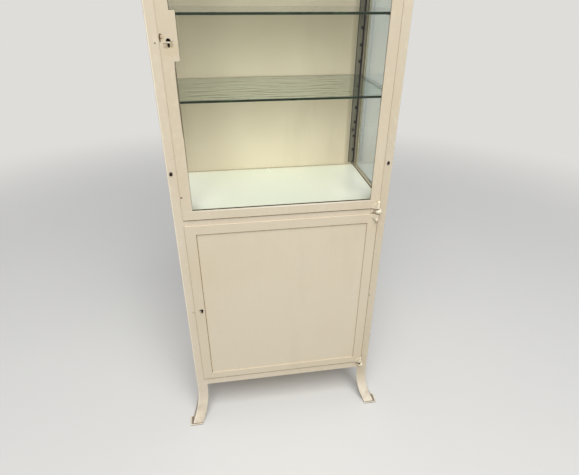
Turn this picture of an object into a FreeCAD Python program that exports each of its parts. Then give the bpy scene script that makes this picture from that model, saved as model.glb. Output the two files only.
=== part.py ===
import FreeCAD, Part
import math
import os

# A free-standing hospital cabinet of welded steel angle: a tall glazed case above a closed
# cupboard, on four legs that curve outwards. X runs across the front, Y from front to back
# and Z up from the floor. The origin is on the floor, under the middle of the cabinet.
# All lengths are in millimetres.

Vector = FreeCAD.Vector

# Overall size, over the outer faces of the posts
WIDTH = 600.0
DEPTH = 326.0
HEIGHT = 1684.0

# Rolled angle of the posts and rails
FLANGE = 34.0
STEEL = 3.0
OUTER_RADIUS = 3.5
INNER_RADIUS = 1.5
SHEET = 1.2
ROOF_SHEET = 1.5

# Legs: the end of each post, curved outwards in one arc down to its foot pad
FLARE_TOP = 118.0
FLARE_SIDE = 26.0
FLARE_FRONT = 44.0
PAD_THICK = 4.0
PAD_WIDTH = 45.0
PAD_DEPTH = 39.0
PAD_OVERHANG_SIDE = 10.0
PAD_OVERHANG_FRONT = 4.0
PAD_CORNER = 3.0
ROOF_INSET = 1.0

# Heights of the rails, doors and floors
BOTTOM_RAIL_Z = 144.0
MIDDLE_RAIL_Z = 754.0
LOWER_DOOR_Z = (173.0, 762.0)
UPPER_DOOR_Z = (780.0, 1658.0)

# Doors: a flat face that laps the frame, and a return that stands inside the opening
DOOR_LAP = 8.0
DOOR_GAP = 0.5
DOOR_FACE = 3.0
FACE_ROUND = 0.9
FACE_RELIEF = 1.8
RETURN_INSET = 10.0
RETURN_THICK = 3.0
RETURN_DEPTH = 10.0
UPPER_STILE = 27.5
UPPER_RAIL = 27.5
LOWER_STILE = 29.5
LOWER_RAIL_TOP = 28.0
LOWER_RAIL_BOTTOM = 26.0
PANEL_SHEET = 1.5

# Glass
PANE = 3.0
OPAL = 5.0
SHELF_GLASS = 6.0
FIT = 0.2
BEAD = 7.0
BEAD_DEPTH = 6.0
SIDE_BEAD = 12.0
SIDE_BEAD_THICK = 2.0
SIDE_PANE_LAP = 12.0

# Shelf supports: perforated strips in the corners, and round rods between them
HOLE_PITCH = 46.9
FIRST_HOLE_Z = 939.3
HOLE_COUNT = 15
HOLE_RADIUS = 2.3
STRIP_WIDTH = 18.0
STRIP_THICK = 2.0
STRIP_Z = (800.5, 1640.0)
FRONT_STRIP_INSET = 8.0
REAR_STRIP_INSETS = {-1: 9.0, 1: 12.5}
STRIP_RETURN = 10.0
STRIP_RETURN_THICK = 1.0
ROD_INSET = 16.5
ROD_RADIUS = 2.8
ROD_RISE = 1.4
ROD_TIP_RADIUS = 2.0
ROD_TIP = 1.6
SHELF_HOLES = (("lower", 3), ("middle", 7), ("top", 11))
SHELF_SIDE_INSET = 9.5
SHELF_FRONT = 11.5
SHELF_REAR = 307.0
OPAL_SIDE_INSET = 8.6
OPAL_FRONT = 12.0

# Screws that hold the strips
SCREW_Z = (913.7, 1526.3)
FRONT_SCREW_INSET = 12.2
REAR_SCREW_INSET = 21.0
SCREW_RADIUS = 2.2
SCREW_HOLE_RADIUS = 2.3
SCREW_HEAD_RADIUS = 5.8
SCREW_HEAD = 2.8
SCREW_SLOT = 1.3
SCREW_SLOT_FLOOR = 1.0

# Beads that finish the back panel beside the strips
BACK_BEAD_WIDTH = 19.0
BACK_BEAD_THICK = 1.2

# Hinges: a ball lug on the frame, a pin through it and a knuckle on each door corner
HINGE_INSET = 4.0
HINGE_AHEAD = 6.5
KNUCKLE_RADIUS = 5.0
KNUCKLE = 24.0
KNUCKLE_DOME = 4.0
WEB_SLOPE = math.radians(30)
WEB_TIP_SHARE = 0.4
PIN_RADIUS = 2.5
PIN_CLEARANCE = 0.05
PIN_REACH = 16.0
PIN_END_GAP = 1.0
COLLAR_RADIUS = 4.2
COLLAR_GAP = 0.3
BALL_RADIUS = 7.0
BALL_HEIGHT = 12.0
BALL_ENDS = (1.1, 5.5)
LUG_INNER = 18.0
LUG_OUTER = 13.0
LUG_PLATE = 2.6
LUG_NECK_HALF = 4.5
MIDDLE_BALL_Z = 770.5
BOTTOM_BALL_Z = 161.5
TOP_BALL_Z = 1668.0

# Locks: a case behind the stile, a bolt that slides behind the post, and a keeper there
LOCK_PLATE_WIDTH = 12.5
LOCK_PLATE_Z = (1180.5, 1282.5)
PLATE_OVER_PANE = 2.5
UPPER_KEY_X = -254.6
UPPER_KEY_Z = 1218.8
LOWER_KEY_X = -253.3
LOWER_KEY_Z = 463.8
KEY_EYE_RADIUS = 4.2
KEY_EYE_RISE = 4.4
KEY_SLOT_WIDTH = 4.6
KEY_SLOT_FOOT = 8.3
CASE_WIDTH = 22.0
CASE_HEIGHT = 56.0
CASE_WALL = 1.2
CASE_BACK_Y = 11.0
BOLT_Y = (4.2, 8.2)
BOLT_HEIGHT = 10.0
BOLT_LENGTH = 20.0
BOLT_CLEARANCE = 0.3
BOLT_DROP = 16.0
KEEPER_HALF = 12.0
KEEPER_FOOT_HALF = 4.0
KEEPER_FOOT_RISE = 6.0
KEEPER_THICK = 1.4
KEEPER_TIP_INSET = 33.0
KEEPER_GAP = 0.3
UPPER_RIVET_INSET = 16.1
LOWER_RIVET_INSET = 22.6
RIVET_RADIUS = 1.6
UPPER_RIVET_HEAD = (1.8, 0.4)
LOWER_RIVET_HEAD = (3.0, 1.1)
RIVET_ROUND = 0.8

# Sizes worked out from the ones above, and how far cuts run past the faces they open
HALF_WIDTH = WIDTH / 2
FRONT_Y = -DEPTH / 2
DOOR_HALF = HALF_WIDTH - FLANGE + DOOR_LAP
RETURN_HALF = DOOR_HALF - RETURN_INSET
POCKET_HALF = RETURN_HALF - RETURN_THICK
TOP_RAIL_Z = HEIGHT - FLANGE
MIDDLE_LEDGE_Z = MIDDLE_RAIL_Z + FLANGE
BOTTOM_LEDGE_Z = BOTTOM_RAIL_Z + FLANGE
FACE_BACK = -DOOR_GAP
FACE_FRONT = FACE_BACK - DOOR_FACE
BACK_PANEL_Y = DEPTH - STEEL - SHEET
HINGE_X = DOOR_HALF - HINGE_INSET
HINGE_Y = FRONT_Y - HINGE_AHEAD
SHEET_INSET = STEEL + SHEET + FIT
TINY = 0.01
PAST = 1.0


def from_front(depth):
    """Y of a plane that lies this far behind the front faces of the posts."""
    return FRONT_Y + depth


def block(x, depth, z):
    """Box between two values of X, of depth behind the front, and of height."""
    corner = Vector(x[0], from_front(depth[0]), z[0])
    return Part.makeBox(x[1] - x[0], depth[1] - depth[0], z[1] - z[0], corner)


def side_block(inset, depth, z, side):
    """Box at one side, where X is given as insets from that side's outer face."""
    near = side * (HALF_WIDTH - inset[0])
    far = side * (HALF_WIDTH - inset[1])
    return block((min(near, far), max(near, far)), depth, z)


def post_along_z(radius, x, y, z):
    """Upright cylinder between two heights."""
    return Part.makeCylinder(radius, z[1] - z[0], Vector(x, y, z[0]))


def rod_along_y(radius, x, z, depth):
    """Cylinder from front to back between two depths."""
    start = Vector(x, from_front(depth[0]), z)
    return Part.makeCylinder(radius, depth[1] - depth[0], start, Vector(0, 1, 0))


def flip_side(shape):
    """The same shape on the other side of the cabinet."""
    return shape.mirror(Vector(0, 0, 0), Vector(1, 0, 0))


def flip_front_back(shape):
    """The same shape on the other face of the cabinet."""
    return shape.mirror(Vector(0, 0, 0), Vector(0, 1, 0))


def upright_edges(shape):
    """Straight edges that run up and down."""
    return [edge for edge in shape.Edges
            if abs(edge.tangentAt(edge.FirstParameter).z) > 1 - TINY]


def joined(first, *others):
    """One solid made of pieces that are welded or formed together."""
    result = first
    for other in others:
        result = result.fuse(other)
    return result.removeSplitter()


def save(name, *solids):
    """Write one node, which may hold several separate solids."""
    loose = []
    for solid in solids:
        loose.extend(solid.Solids)
    shape = loose[0] if len(loose) == 1 else Part.makeCompound(loose)
    shape.exportStep("parts/" + name + ".step")
    print(name, len(loose), "solids", round(sum(s.Volume for s in loose)), "mm3",
          "valid" if shape.isValid() else "NOT VALID")


# Posts and legs

def angle_section(z):
    """Outline of the front left post: an angle with a rounded heel, at one height."""
    x = -HALF_WIDTH
    y = FRONT_Y
    outer = OUTER_RADIUS
    inner = INNER_RADIUS
    turn = math.sqrt(0.5)
    heel = Vector(x + outer * (1 - turn), y + outer * (1 - turn), z)
    throat = Vector(x + STEEL + inner * (1 - turn), y + STEEL + inner * (1 - turn), z)
    toe_x = Vector(x + FLANGE, y, z)
    toe_x_back = Vector(x + FLANGE, y + STEEL, z)
    toe_y = Vector(x, y + FLANGE, z)
    toe_y_back = Vector(x + STEEL, y + FLANGE, z)
    heel_x = Vector(x + outer, y, z)
    heel_y = Vector(x, y + outer, z)
    throat_x = Vector(x + STEEL + inner, y + STEEL, z)
    throat_y = Vector(x + STEEL, y + STEEL + inner, z)
    edges = [
        Part.LineSegment(heel_x, toe_x).toShape(),
        Part.LineSegment(toe_x, toe_x_back).toShape(),
        Part.LineSegment(toe_x_back, throat_x).toShape(),
        Part.Arc(throat_x, throat, throat_y).toShape(),
        Part.LineSegment(throat_y, toe_y_back).toShape(),
        Part.LineSegment(toe_y_back, toe_y).toShape(),
        Part.LineSegment(toe_y, heel_y).toShape(),
        Part.Arc(heel_y, heel, heel_x).toShape(),
    ]
    return Part.Wire(edges)


def flare_path():
    """Path of the front left leg: one arc, upright at its top, that ends on the pad."""
    drop = FLARE_TOP - PAD_THICK
    reach = math.hypot(FLARE_SIDE, FLARE_FRONT)
    angle = 2 * math.atan2(reach, drop)
    radius = drop / math.sin(angle)
    points = []
    for share in (0.0, 0.5, 1.0):
        along = radius * (1 - math.cos(angle * share))
        down = radius * math.sin(angle * share)
        points.append(Vector(-along * FLARE_SIDE / reach, -along * FLARE_FRONT / reach,
                             FLARE_TOP - down))
    return Part.Wire([Part.Arc(*points).toShape()])


def front_left_post():
    """Angle post whose foot curves outwards, the section keeping its direction."""
    shaft = Part.Face(angle_section(FLARE_TOP)).extrude(Vector(0, 0, HEIGHT - FLARE_TOP))
    sweep = Part.BRepOffsetAPI.MakePipeShell(flare_path())
    sweep.setTrihedronMode(Vector(0, 0, 0), Vector(0, 0, 1))
    sweep.add(angle_section(FLARE_TOP))
    sweep.build()
    sweep.makeSolid()
    return joined(shaft, sweep.shape())


def screw_holes(inset, side, depth):
    """Clearance holes of the strip screws through one flange and its strip."""
    x = side * (HALF_WIDTH - inset)
    return [rod_along_y(SCREW_HOLE_RADIUS, x, z, depth) for z in SCREW_Z]


def keeper_hole(inset, z):
    """Hole of a keeper rivet through the front left post."""
    return rod_along_y(RIVET_RADIUS, inset - HALF_WIDTH, z, (-TINY, STEEL + STRIP_THICK + TINY))


def make_posts():
    """Four posts, drilled for the strip screws and the keeper rivets."""
    post = front_left_post()
    front_depth = (-TINY, STEEL + TINY)
    back_depth = (DEPTH - STEEL - TINY, DEPTH + TINY)
    for front, depth in (("front", front_depth), ("rear", back_depth)):
        for name, side in (("left", -1), ("right", 1)):
            solid = post if side < 0 else flip_side(post)
            if front == "rear":
                solid = flip_front_back(solid)
            inset = FRONT_SCREW_INSET if front == "front" else REAR_SCREW_INSET
            solid = solid.cut(screw_holes(inset, side, depth))
            if (front, name) == ("front", "left"):
                solid = solid.cut([keeper_hole(UPPER_RIVET_INSET, UPPER_KEY_Z),
                                   keeper_hole(LOWER_RIVET_INSET, LOWER_KEY_Z)])
            save(front + "_" + name + "_post", solid)


def make_foot_pads():
    """Flat pads under the legs, wider than the leg on the outside and at the front."""
    outer = -HALF_WIDTH - FLARE_SIDE - PAD_OVERHANG_SIDE
    ahead = -FLARE_FRONT - PAD_OVERHANG_FRONT
    pad = block((outer, outer + PAD_WIDTH), (ahead, ahead + PAD_DEPTH), (0, PAD_THICK))
    pad = pad.makeFillet(PAD_CORNER, upright_edges(pad))
    save("front_left_foot_pad", pad)
    save("front_right_foot_pad", flip_side(pad))
    save("rear_left_foot_pad", flip_front_back(pad))
    save("rear_right_foot_pad", flip_side(flip_front_back(pad)))


# Rails, sheets and glass of the case

def front_rail(z):
    """Angle across the front, its ledge turned inwards at the top."""
    x = (FLANGE - HALF_WIDTH, HALF_WIDTH - FLANGE)
    upright = block(x, (0, STEEL), (z, z + FLANGE))
    ledge = block(x, (0, FLANGE), (z + FLANGE - STEEL, z + FLANGE))
    return joined(upright, ledge)


def side_rail(z):
    """Angle along the left side, its ledge turned inwards at the top."""
    depth = (FLANGE, DEPTH - FLANGE)
    upright = side_block((0, STEEL), depth, (z, z + FLANGE), -1)
    ledge = side_block((0, FLANGE), depth, (z + FLANGE - STEEL, z + FLANGE), -1)
    return joined(upright, ledge)


def make_rails():
    """Three rings of rails: under the cupboard, between the doors and at the top."""
    for level, z in (("bottom", BOTTOM_RAIL_Z), ("middle", MIDDLE_RAIL_Z), ("top", TOP_RAIL_Z)):
        save(level + "_front_rail", front_rail(z))
        save(level + "_rear_rail", flip_front_back(front_rail(z)))
        save(level + "_left_rail", side_rail(z))
        save(level + "_right_rail", flip_side(side_rail(z)))


def make_sheets():
    """Roof, floors, back panels and the sides of the cupboard."""
    roof_edge = HALF_WIDTH - ROOF_INSET
    roof = block((-roof_edge, roof_edge), (ROOF_INSET, DEPTH - ROOF_INSET),
                 (HEIGHT, HEIGHT + ROOF_SHEET))
    save("roof_panel", roof.makeFillet(OUTER_RADIUS, upright_edges(roof)))

    floor_x = (SHEET_INSET - HALF_WIDTH, HALF_WIDTH - SHEET_INSET)
    floor_depth = (STEEL + INNER_RADIUS, BACK_PANEL_Y - FIT)
    under_ledge = MIDDLE_LEDGE_Z - STEEL
    save("middle_floor", block(floor_x, floor_depth, (under_ledge - SHEET, under_ledge)))
    save("bottom_floor", block(floor_x, floor_depth, (BOTTOM_LEDGE_Z, BOTTOM_LEDGE_Z + SHEET)))

    back_x = (STEEL + INNER_RADIUS - HALF_WIDTH, HALF_WIDTH - STEEL - INNER_RADIUS)
    back_depth = (BACK_PANEL_Y, BACK_PANEL_Y + SHEET)
    save("lower_back_panel", block(back_x, back_depth, (BOTTOM_LEDGE_Z, under_ledge)))
    back = block(back_x, back_depth, (MIDDLE_LEDGE_Z, HEIGHT - STEEL))
    for side in (-1, 1):
        back = back.cut(screw_holes(REAR_SCREW_INSET, side, back_depth))
    save("upper_back_panel", back)

    cheek_depth = (STEEL + INNER_RADIUS, DEPTH - STEEL - INNER_RADIUS)
    cheek = side_block((STEEL, STEEL + SHEET), cheek_depth, (BOTTOM_LEDGE_Z, under_ledge), -1)
    save("left_lower_panel", cheek)
    save("right_lower_panel", flip_side(cheek))


def make_back_beads():
    """Flat beads that run up the back panel beside the perforated strips."""
    depth = (BACK_PANEL_Y - BACK_BEAD_THICK, BACK_PANEL_Y)
    height = (MIDDLE_LEDGE_Z + OPAL, HEIGHT - STEEL)
    beads = []
    for side, strip_inset in REAR_STRIP_INSETS.items():
        inset = strip_inset + STRIP_WIDTH
        beads.append(side_block((inset, inset + BACK_BEAD_WIDTH), depth, height, side))
    save("back_panel_beads", *beads)


def make_side_glass():
    """A pane in each side of the case, held by four flat beads."""
    depth = (FLANGE - SIDE_PANE_LAP, DEPTH - FLANGE + SIDE_PANE_LAP)
    low = MIDDLE_LEDGE_Z
    high = HEIGHT - STEEL
    inset = (STEEL + FIT, STEEL + FIT + PANE)
    pane = side_block(inset, depth, (low + FIT, high - FIT), -1)
    save("left_side_glass", pane)
    save("right_side_glass", flip_side(pane))

    bead_inset = (inset[1], inset[1] + SIDE_BEAD_THICK)
    rails = [side_block(bead_inset, depth, (low, low + SIDE_BEAD), -1),
             side_block(bead_inset, depth, (high - SIDE_BEAD, high), -1)]
    inner_z = (low + SIDE_BEAD, high - SIDE_BEAD)
    stiles = [side_block(bead_inset, (depth[0], depth[0] + SIDE_BEAD), inner_z, -1),
              side_block(bead_inset, (depth[1] - SIDE_BEAD, depth[1]), inner_z, -1)]
    left = rails + stiles
    save("side_glass_beads", *left, *[flip_side(bead) for bead in left])


def make_opal_plate():
    """Milk glass plate that lies loose on the middle ledges as the case's floor."""
    x = (OPAL_SIDE_INSET - HALF_WIDTH, HALF_WIDTH - OPAL_SIDE_INSET)
    depth = (OPAL_FRONT, BACK_PANEL_Y - BACK_BEAD_THICK)
    save("opal_glass_plate", block(x, depth, (MIDDLE_LEDGE_Z, MIDDLE_LEDGE_Z + OPAL)))


# Shelves and what carries them

def hole_z(index):
    """Height of one hole of the perforated strips."""
    return FIRST_HOLE_Z + index * HOLE_PITCH


def strip_holes(side, depth):
    """The row of rod holes of one strip."""
    x = side * (HALF_WIDTH - ROD_INSET)
    return [rod_along_y(HOLE_RADIUS, x, hole_z(index), depth) for index in range(HOLE_COUNT)]


def make_strips():
    """Front strips are flat. Rear strips have a return along their outer edge."""
    front_depth = (STEEL, STEEL + STRIP_THICK)
    front_inset = (FRONT_STRIP_INSET, FRONT_STRIP_INSET + STRIP_WIDTH)
    rear_depth = (BACK_PANEL_Y - STRIP_THICK, BACK_PANEL_Y)
    return_depth = (rear_depth[0] - STRIP_RETURN, rear_depth[1])
    for name, side in (("left", -1), ("right", 1)):
        front = side_block(front_inset, front_depth, STRIP_Z, side)
        front = front.cut(strip_holes(side, front_depth))
        front = front.cut(screw_holes(FRONT_SCREW_INSET, side, front_depth))
        if side < 0:
            front = front.cut(keeper_hole(UPPER_RIVET_INSET, UPPER_KEY_Z))
        save("front_" + name + "_shelf_strip", front)

        inset = REAR_STRIP_INSETS[side]
        flat = side_block((inset, inset + STRIP_WIDTH), rear_depth, STRIP_Z, side)
        lip = side_block((inset, inset + STRIP_RETURN_THICK), return_depth, STRIP_Z, side)
        rear = joined(flat, lip).cut(strip_holes(side, rear_depth))
        rear = rear.cut(screw_holes(REAR_SCREW_INSET, side, rear_depth))
        save("rear_" + name + "_shelf_strip", rear)


def screw(x, z, face, end):
    """Round-head slotted screw: the head stands on one face, the shank ends at another."""
    rise = SCREW_HEAD
    ball = (SCREW_HEAD_RADIUS ** 2 + rise ** 2) / (2 * rise)
    dome = Part.makeSphere(ball, Vector(x, from_front(face) + ball - rise, z))
    head = dome.common(rod_along_y(SCREW_HEAD_RADIUS, x, z, (face - rise, face)))
    half = SCREW_SLOT / 2
    slot = block((x - SCREW_HEAD_RADIUS, x + SCREW_HEAD_RADIUS),
                 (face - rise - PAST, face - SCREW_SLOT_FLOOR), (z - half, z + half))
    shank = rod_along_y(SCREW_RADIUS, x, z, (face, end))
    return joined(head.cut(slot), shank)


def make_strip_screws():
    """Two screws for each strip: from outside at the front, from inside at the back."""
    screws = []
    strip_front = BACK_PANEL_Y - STRIP_THICK
    for side in (-1, 1):
        for z in SCREW_Z:
            front_x = side * (HALF_WIDTH - FRONT_SCREW_INSET)
            rear_x = side * (HALF_WIDTH - REAR_SCREW_INSET)
            screws.append(screw(front_x, z, 0, STEEL + STRIP_THICK))
            screws.append(screw(rear_x, z, strip_front, DEPTH))
    save("strip_screws", *screws)


def make_shelves():
    """Each clear shelf lies on two rods whose lowered tips sit in the strips' holes."""
    rod_depth = (STEEL + STRIP_THICK + FIT, BACK_PANEL_Y - STRIP_THICK - FIT)
    x = (SHELF_SIDE_INSET - HALF_WIDTH, HALF_WIDTH - SHELF_SIDE_INSET)
    for name, index in SHELF_HOLES:
        z = hole_z(index)
        rod_x = HALF_WIDTH - ROD_INSET
        middle = rod_along_y(ROD_RADIUS, -rod_x, z + ROD_RISE, rod_depth)
        tips = rod_along_y(ROD_TIP_RADIUS, -rod_x, z, (rod_depth[0] - ROD_TIP,
                                                       rod_depth[1] + ROD_TIP))
        rod = joined(middle, tips)
        save(name + "_shelf_rods", rod, flip_side(rod))
        low = z + ROD_RISE + ROD_RADIUS + FIT
        plate = block(x, (SHELF_FRONT, SHELF_REAR), (low, low + SHELF_GLASS))
        save(name + "_glass_shelf", plate)


# Doors

def door_frame(door_z, stile, rail_low, rail_high):
    """Welded door frame: a flat face with a return behind it on all four sides.

    The hinge side of the face is bevelled at its back, which clears the post as it swings.
    """
    low, high = door_z
    face = block((-DOOR_HALF, DOOR_HALF), (FACE_FRONT, FACE_BACK), door_z)
    outer = [edge for edge in face.Edges
             if edge.BoundBox.YMax < from_front(FACE_FRONT) + TINY]
    face = face.makeFillet(FACE_ROUND, outer)
    relief = [edge for edge in upright_edges(face)
              if edge.BoundBox.XMin > DOOR_HALF - TINY
              and edge.BoundBox.YMin > from_front(FACE_BACK) - TINY]
    face = face.makeChamfer(FACE_RELIEF, relief)
    face = face.cut(block((stile - DOOR_HALF, DOOR_HALF - stile),
                          (FACE_FRONT - PAST, FACE_BACK + PAST),
                          (low + rail_low, high - rail_high)))
    depth = (FACE_BACK, FACE_BACK + RETURN_DEPTH)
    ring = block((-RETURN_HALF, RETURN_HALF), depth, (low + RETURN_INSET, high - RETURN_INSET))
    inset = RETURN_INSET + RETURN_THICK
    ring = ring.cut(block((-POCKET_HALF, POCKET_HALF), (depth[0] - PAST, depth[1] + PAST),
                          (low + inset, high - inset)))
    return joined(face, ring)


def keyhole(x, z, depth):
    """Round eye with a slot below it, cut between two depths."""
    eye = rod_along_y(KEY_EYE_RADIUS, x, z + KEY_EYE_RISE, depth)
    half = KEY_SLOT_WIDTH / 2
    slot = block((x - half, x + half), depth, (z - KEY_SLOT_FOOT, z + KEY_EYE_RISE))
    return joined(eye, slot)


def knuckle_web(z, upward):
    """Wedge that carries a knuckle over onto the door's face, lower towards its tip."""
    face_y = FRONT_Y + FACE_FRONT
    touch = Vector(HINGE_X - KNUCKLE_RADIUS * math.sin(WEB_SLOPE),
                   HINGE_Y - KNUCKLE_RADIUS * math.cos(WEB_SLOPE), z)
    tip = Vector(touch.x - (face_y - touch.y) / math.tan(WEB_SLOPE), face_y, z)
    outline = [tip, touch, Vector(HINGE_X, HINGE_Y, z), Vector(HINGE_X, face_y, z), tip]
    length = (KNUCKLE - KNUCKLE_DOME) * (1 if upward else -1)
    web = Part.Face(Part.makePolygon(outline)).extrude(Vector(0, 0, length))
    front = touch.y - PAST
    slant = [Vector(tip.x, front, z), Vector(tip.x, front, z + WEB_TIP_SHARE * length),
             Vector(touch.x, front, z + length), Vector(HINGE_X + PAST, front, z + length),
             Vector(HINGE_X + PAST, front, z), Vector(tip.x, front, z)]
    depth = Vector(0, face_y - front, 0)
    return web.common(Part.Face(Part.makePolygon(slant)).extrude(depth))


def knuckle(z, upward):
    """Hinge knuckle at a door corner: domed at one end, bored for the pin at the other."""
    if upward:
        body = post_along_z(KNUCKLE_RADIUS, HINGE_X, HINGE_Y, (z, z + KNUCKLE))
        dome_z = z + KNUCKLE
        bore = (z - PAST, z + PIN_REACH + PIN_END_GAP)
    else:
        body = post_along_z(KNUCKLE_RADIUS, HINGE_X, HINGE_Y, (z - KNUCKLE, z))
        dome_z = z - KNUCKLE
        bore = (z - PIN_REACH - PIN_END_GAP, z + PAST)
    rim = [edge for edge in body.Edges
           if abs(edge.BoundBox.ZMax - dome_z) < TINY and abs(edge.BoundBox.ZMin - dome_z) < TINY]
    body = joined(body.makeFillet(KNUCKLE_DOME, rim), knuckle_web(z, upward))
    return body.cut(post_along_z(PIN_RADIUS + PIN_CLEARANCE, HINGE_X, HINGE_Y, bore))


def knuckle_seat(door_z):
    """Space that the two knuckles of a door take out of its frame."""
    low, high = door_z
    return [post_along_z(KNUCKLE_RADIUS, HINGE_X, HINGE_Y, (low - PAST, low + KNUCKLE)),
            post_along_z(KNUCKLE_RADIUS, HINGE_X, HINGE_Y, (high - KNUCKLE, high + PAST))]


def bolt_window(z):
    """Opening in the left return through which a lock bolt slides."""
    gap = BOLT_CLEARANCE
    half = BOLT_HEIGHT / 2 + gap
    x = (-RETURN_HALF - PAST, CASE_WALL + PAST - POCKET_HALF)
    return block(x, (BOLT_Y[0] - gap, BOLT_Y[1] + gap), (z - half, z + half))


def lock_case(key_z, front):
    """Open-fronted case against the back of the stile, with a window for the bolt."""
    low = key_z - CASE_HEIGHT / 2
    high = key_z + CASE_HEIGHT / 2
    x = (-POCKET_HALF, CASE_WIDTH - POCKET_HALF)
    outer = block(x, (front, CASE_BACK_Y), (low, high))
    inner = block((x[0] + CASE_WALL, x[1] - CASE_WALL), (front - PAST, CASE_BACK_Y - CASE_WALL),
                  (low + CASE_WALL, high - CASE_WALL))
    return outer.cut(inner).cut(bolt_window(key_z - BOLT_DROP))


def lock_bolt(key_z):
    """Square bolt, drawn back so that its nose is level with the door's return."""
    z = key_z - BOLT_DROP
    half = BOLT_HEIGHT / 2
    return block((-RETURN_HALF, BOLT_LENGTH - RETURN_HALF), BOLT_Y, (z - half, z + half))


def make_upper_door():
    """Glazed door with a lock plate that widens its left stile, and its lock."""
    low, high = UPPER_DOOR_Z
    key_depth = (FACE_FRONT - PAST, FACE_BACK + PAST)
    frame = door_frame(UPPER_DOOR_Z, UPPER_STILE, UPPER_RAIL, UPPER_RAIL)
    frame = frame.cut(knuckle_seat(UPPER_DOOR_Z))
    frame = frame.cut([keyhole(UPPER_KEY_X, UPPER_KEY_Z, key_depth),
                       bolt_window(UPPER_KEY_Z - BOLT_DROP)])
    save("upper_door_frame", frame)

    plate_left = UPPER_STILE - DOOR_HALF
    plate_x = (plate_left, plate_left + LOCK_PLATE_WIDTH)
    plate = block(plate_x, (FACE_FRONT, FACE_BACK), LOCK_PLATE_Z)
    save("upper_lock_plate", plate)

    inset = RETURN_INSET + RETURN_THICK
    pocket_z = (low + inset, high - inset)
    pane = block((FIT - POCKET_HALF, POCKET_HALF - FIT), (FACE_BACK, FACE_BACK + PANE),
                 (pocket_z[0] + FIT, pocket_z[1] - FIT))
    notch_x = plate_x[1] - PLATE_OVER_PANE
    notch_z = (LOCK_PLATE_Z[0] + PLATE_OVER_PANE, LOCK_PLATE_Z[1] - PLATE_OVER_PANE)
    pane = pane.cut(block((-POCKET_HALF, notch_x), (FACE_BACK - PAST, FACE_BACK + PANE + PAST),
                          notch_z))
    save("upper_door_glass", pane)

    bead_depth = (FACE_BACK + PANE, FACE_BACK + PANE + BEAD_DEPTH)
    inner_z = (pocket_z[0] + BEAD, pocket_z[1] - BEAD)
    across = (-POCKET_HALF, POCKET_HALF)
    beside = (-POCKET_HALF, BEAD - POCKET_HALF)
    beads = [block(across, bead_depth, (pocket_z[0], inner_z[0])),
             block(across, bead_depth, (inner_z[1], pocket_z[1])),
             block((POCKET_HALF - BEAD, POCKET_HALF), bead_depth, inner_z),
             block(beside, bead_depth, (inner_z[0], notch_z[0])),
             block(beside, bead_depth, (notch_z[1], inner_z[1]))]
    save("upper_door_beads", *beads)

    save("upper_lock_case", lock_case(UPPER_KEY_Z, FACE_BACK))
    save("upper_lock_bolt", lock_bolt(UPPER_KEY_Z))
    save("upper_door_knuckles", knuckle(low, True), knuckle(high, False))


def make_lower_door():
    """Closed door: a sheet set back in its frame, and its lock behind the sheet."""
    low, high = LOWER_DOOR_Z
    panel_back = FACE_BACK + PANEL_SHEET
    frame = door_frame(LOWER_DOOR_Z, LOWER_STILE, LOWER_RAIL_BOTTOM, LOWER_RAIL_TOP)
    frame = frame.cut(knuckle_seat(LOWER_DOOR_Z))
    key_depth = (FACE_FRONT - PAST, panel_back + PAST)
    frame = frame.cut([keyhole(LOWER_KEY_X, LOWER_KEY_Z, key_depth),
                       bolt_window(LOWER_KEY_Z - BOLT_DROP)])
    save("lower_door_frame", frame)

    inset = RETURN_INSET + RETURN_THICK + FIT
    sheet = block((FIT - POCKET_HALF, POCKET_HALF - FIT), (FACE_BACK, panel_back),
                  (low + inset, high - inset))
    save("lower_door_panel", sheet.cut(keyhole(LOWER_KEY_X, LOWER_KEY_Z, key_depth)))

    save("lower_lock_case", lock_case(LOWER_KEY_Z, panel_back))
    save("lower_lock_bolt", lock_bolt(LOWER_KEY_Z))
    save("lower_door_knuckles", knuckle(low, True), knuckle(high, False))


# Hinge lugs, pins and keepers

def hinge_lug(z):
    """Plate on the frame beside the door corner, with a flattened egg bored for the pin."""
    half = BALL_HEIGHT / 2
    inner, outer = (Vector(HINGE_X + end, HINGE_Y, z) for end in BALL_ENDS)
    waist = Part.makeCylinder(BALL_RADIUS, outer.x - inner.x, inner, Vector(1, 0, 0))
    ball = joined(Part.makeSphere(BALL_RADIUS, inner), Part.makeSphere(BALL_RADIUS, outer), waist)
    ball = ball.common(block((inner.x - BALL_RADIUS, outer.x + BALL_RADIUS),
                             (-HINGE_AHEAD - BALL_RADIUS, 0), (z - half, z + half)))
    plate = block((HINGE_X - LUG_INNER, HINGE_X + LUG_OUTER), (-LUG_PLATE, 0),
                  (z - half, z + half))
    neck = block((HINGE_X - LUG_NECK_HALF, HINGE_X + LUG_NECK_HALF), (-HINGE_AHEAD, 0),
                 (z - half, z + half))
    bore = post_along_z(PIN_RADIUS, HINGE_X, HINGE_Y, (z - half - PAST, z + half + PAST))
    return joined(ball, plate, neck).cut(bore)


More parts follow.
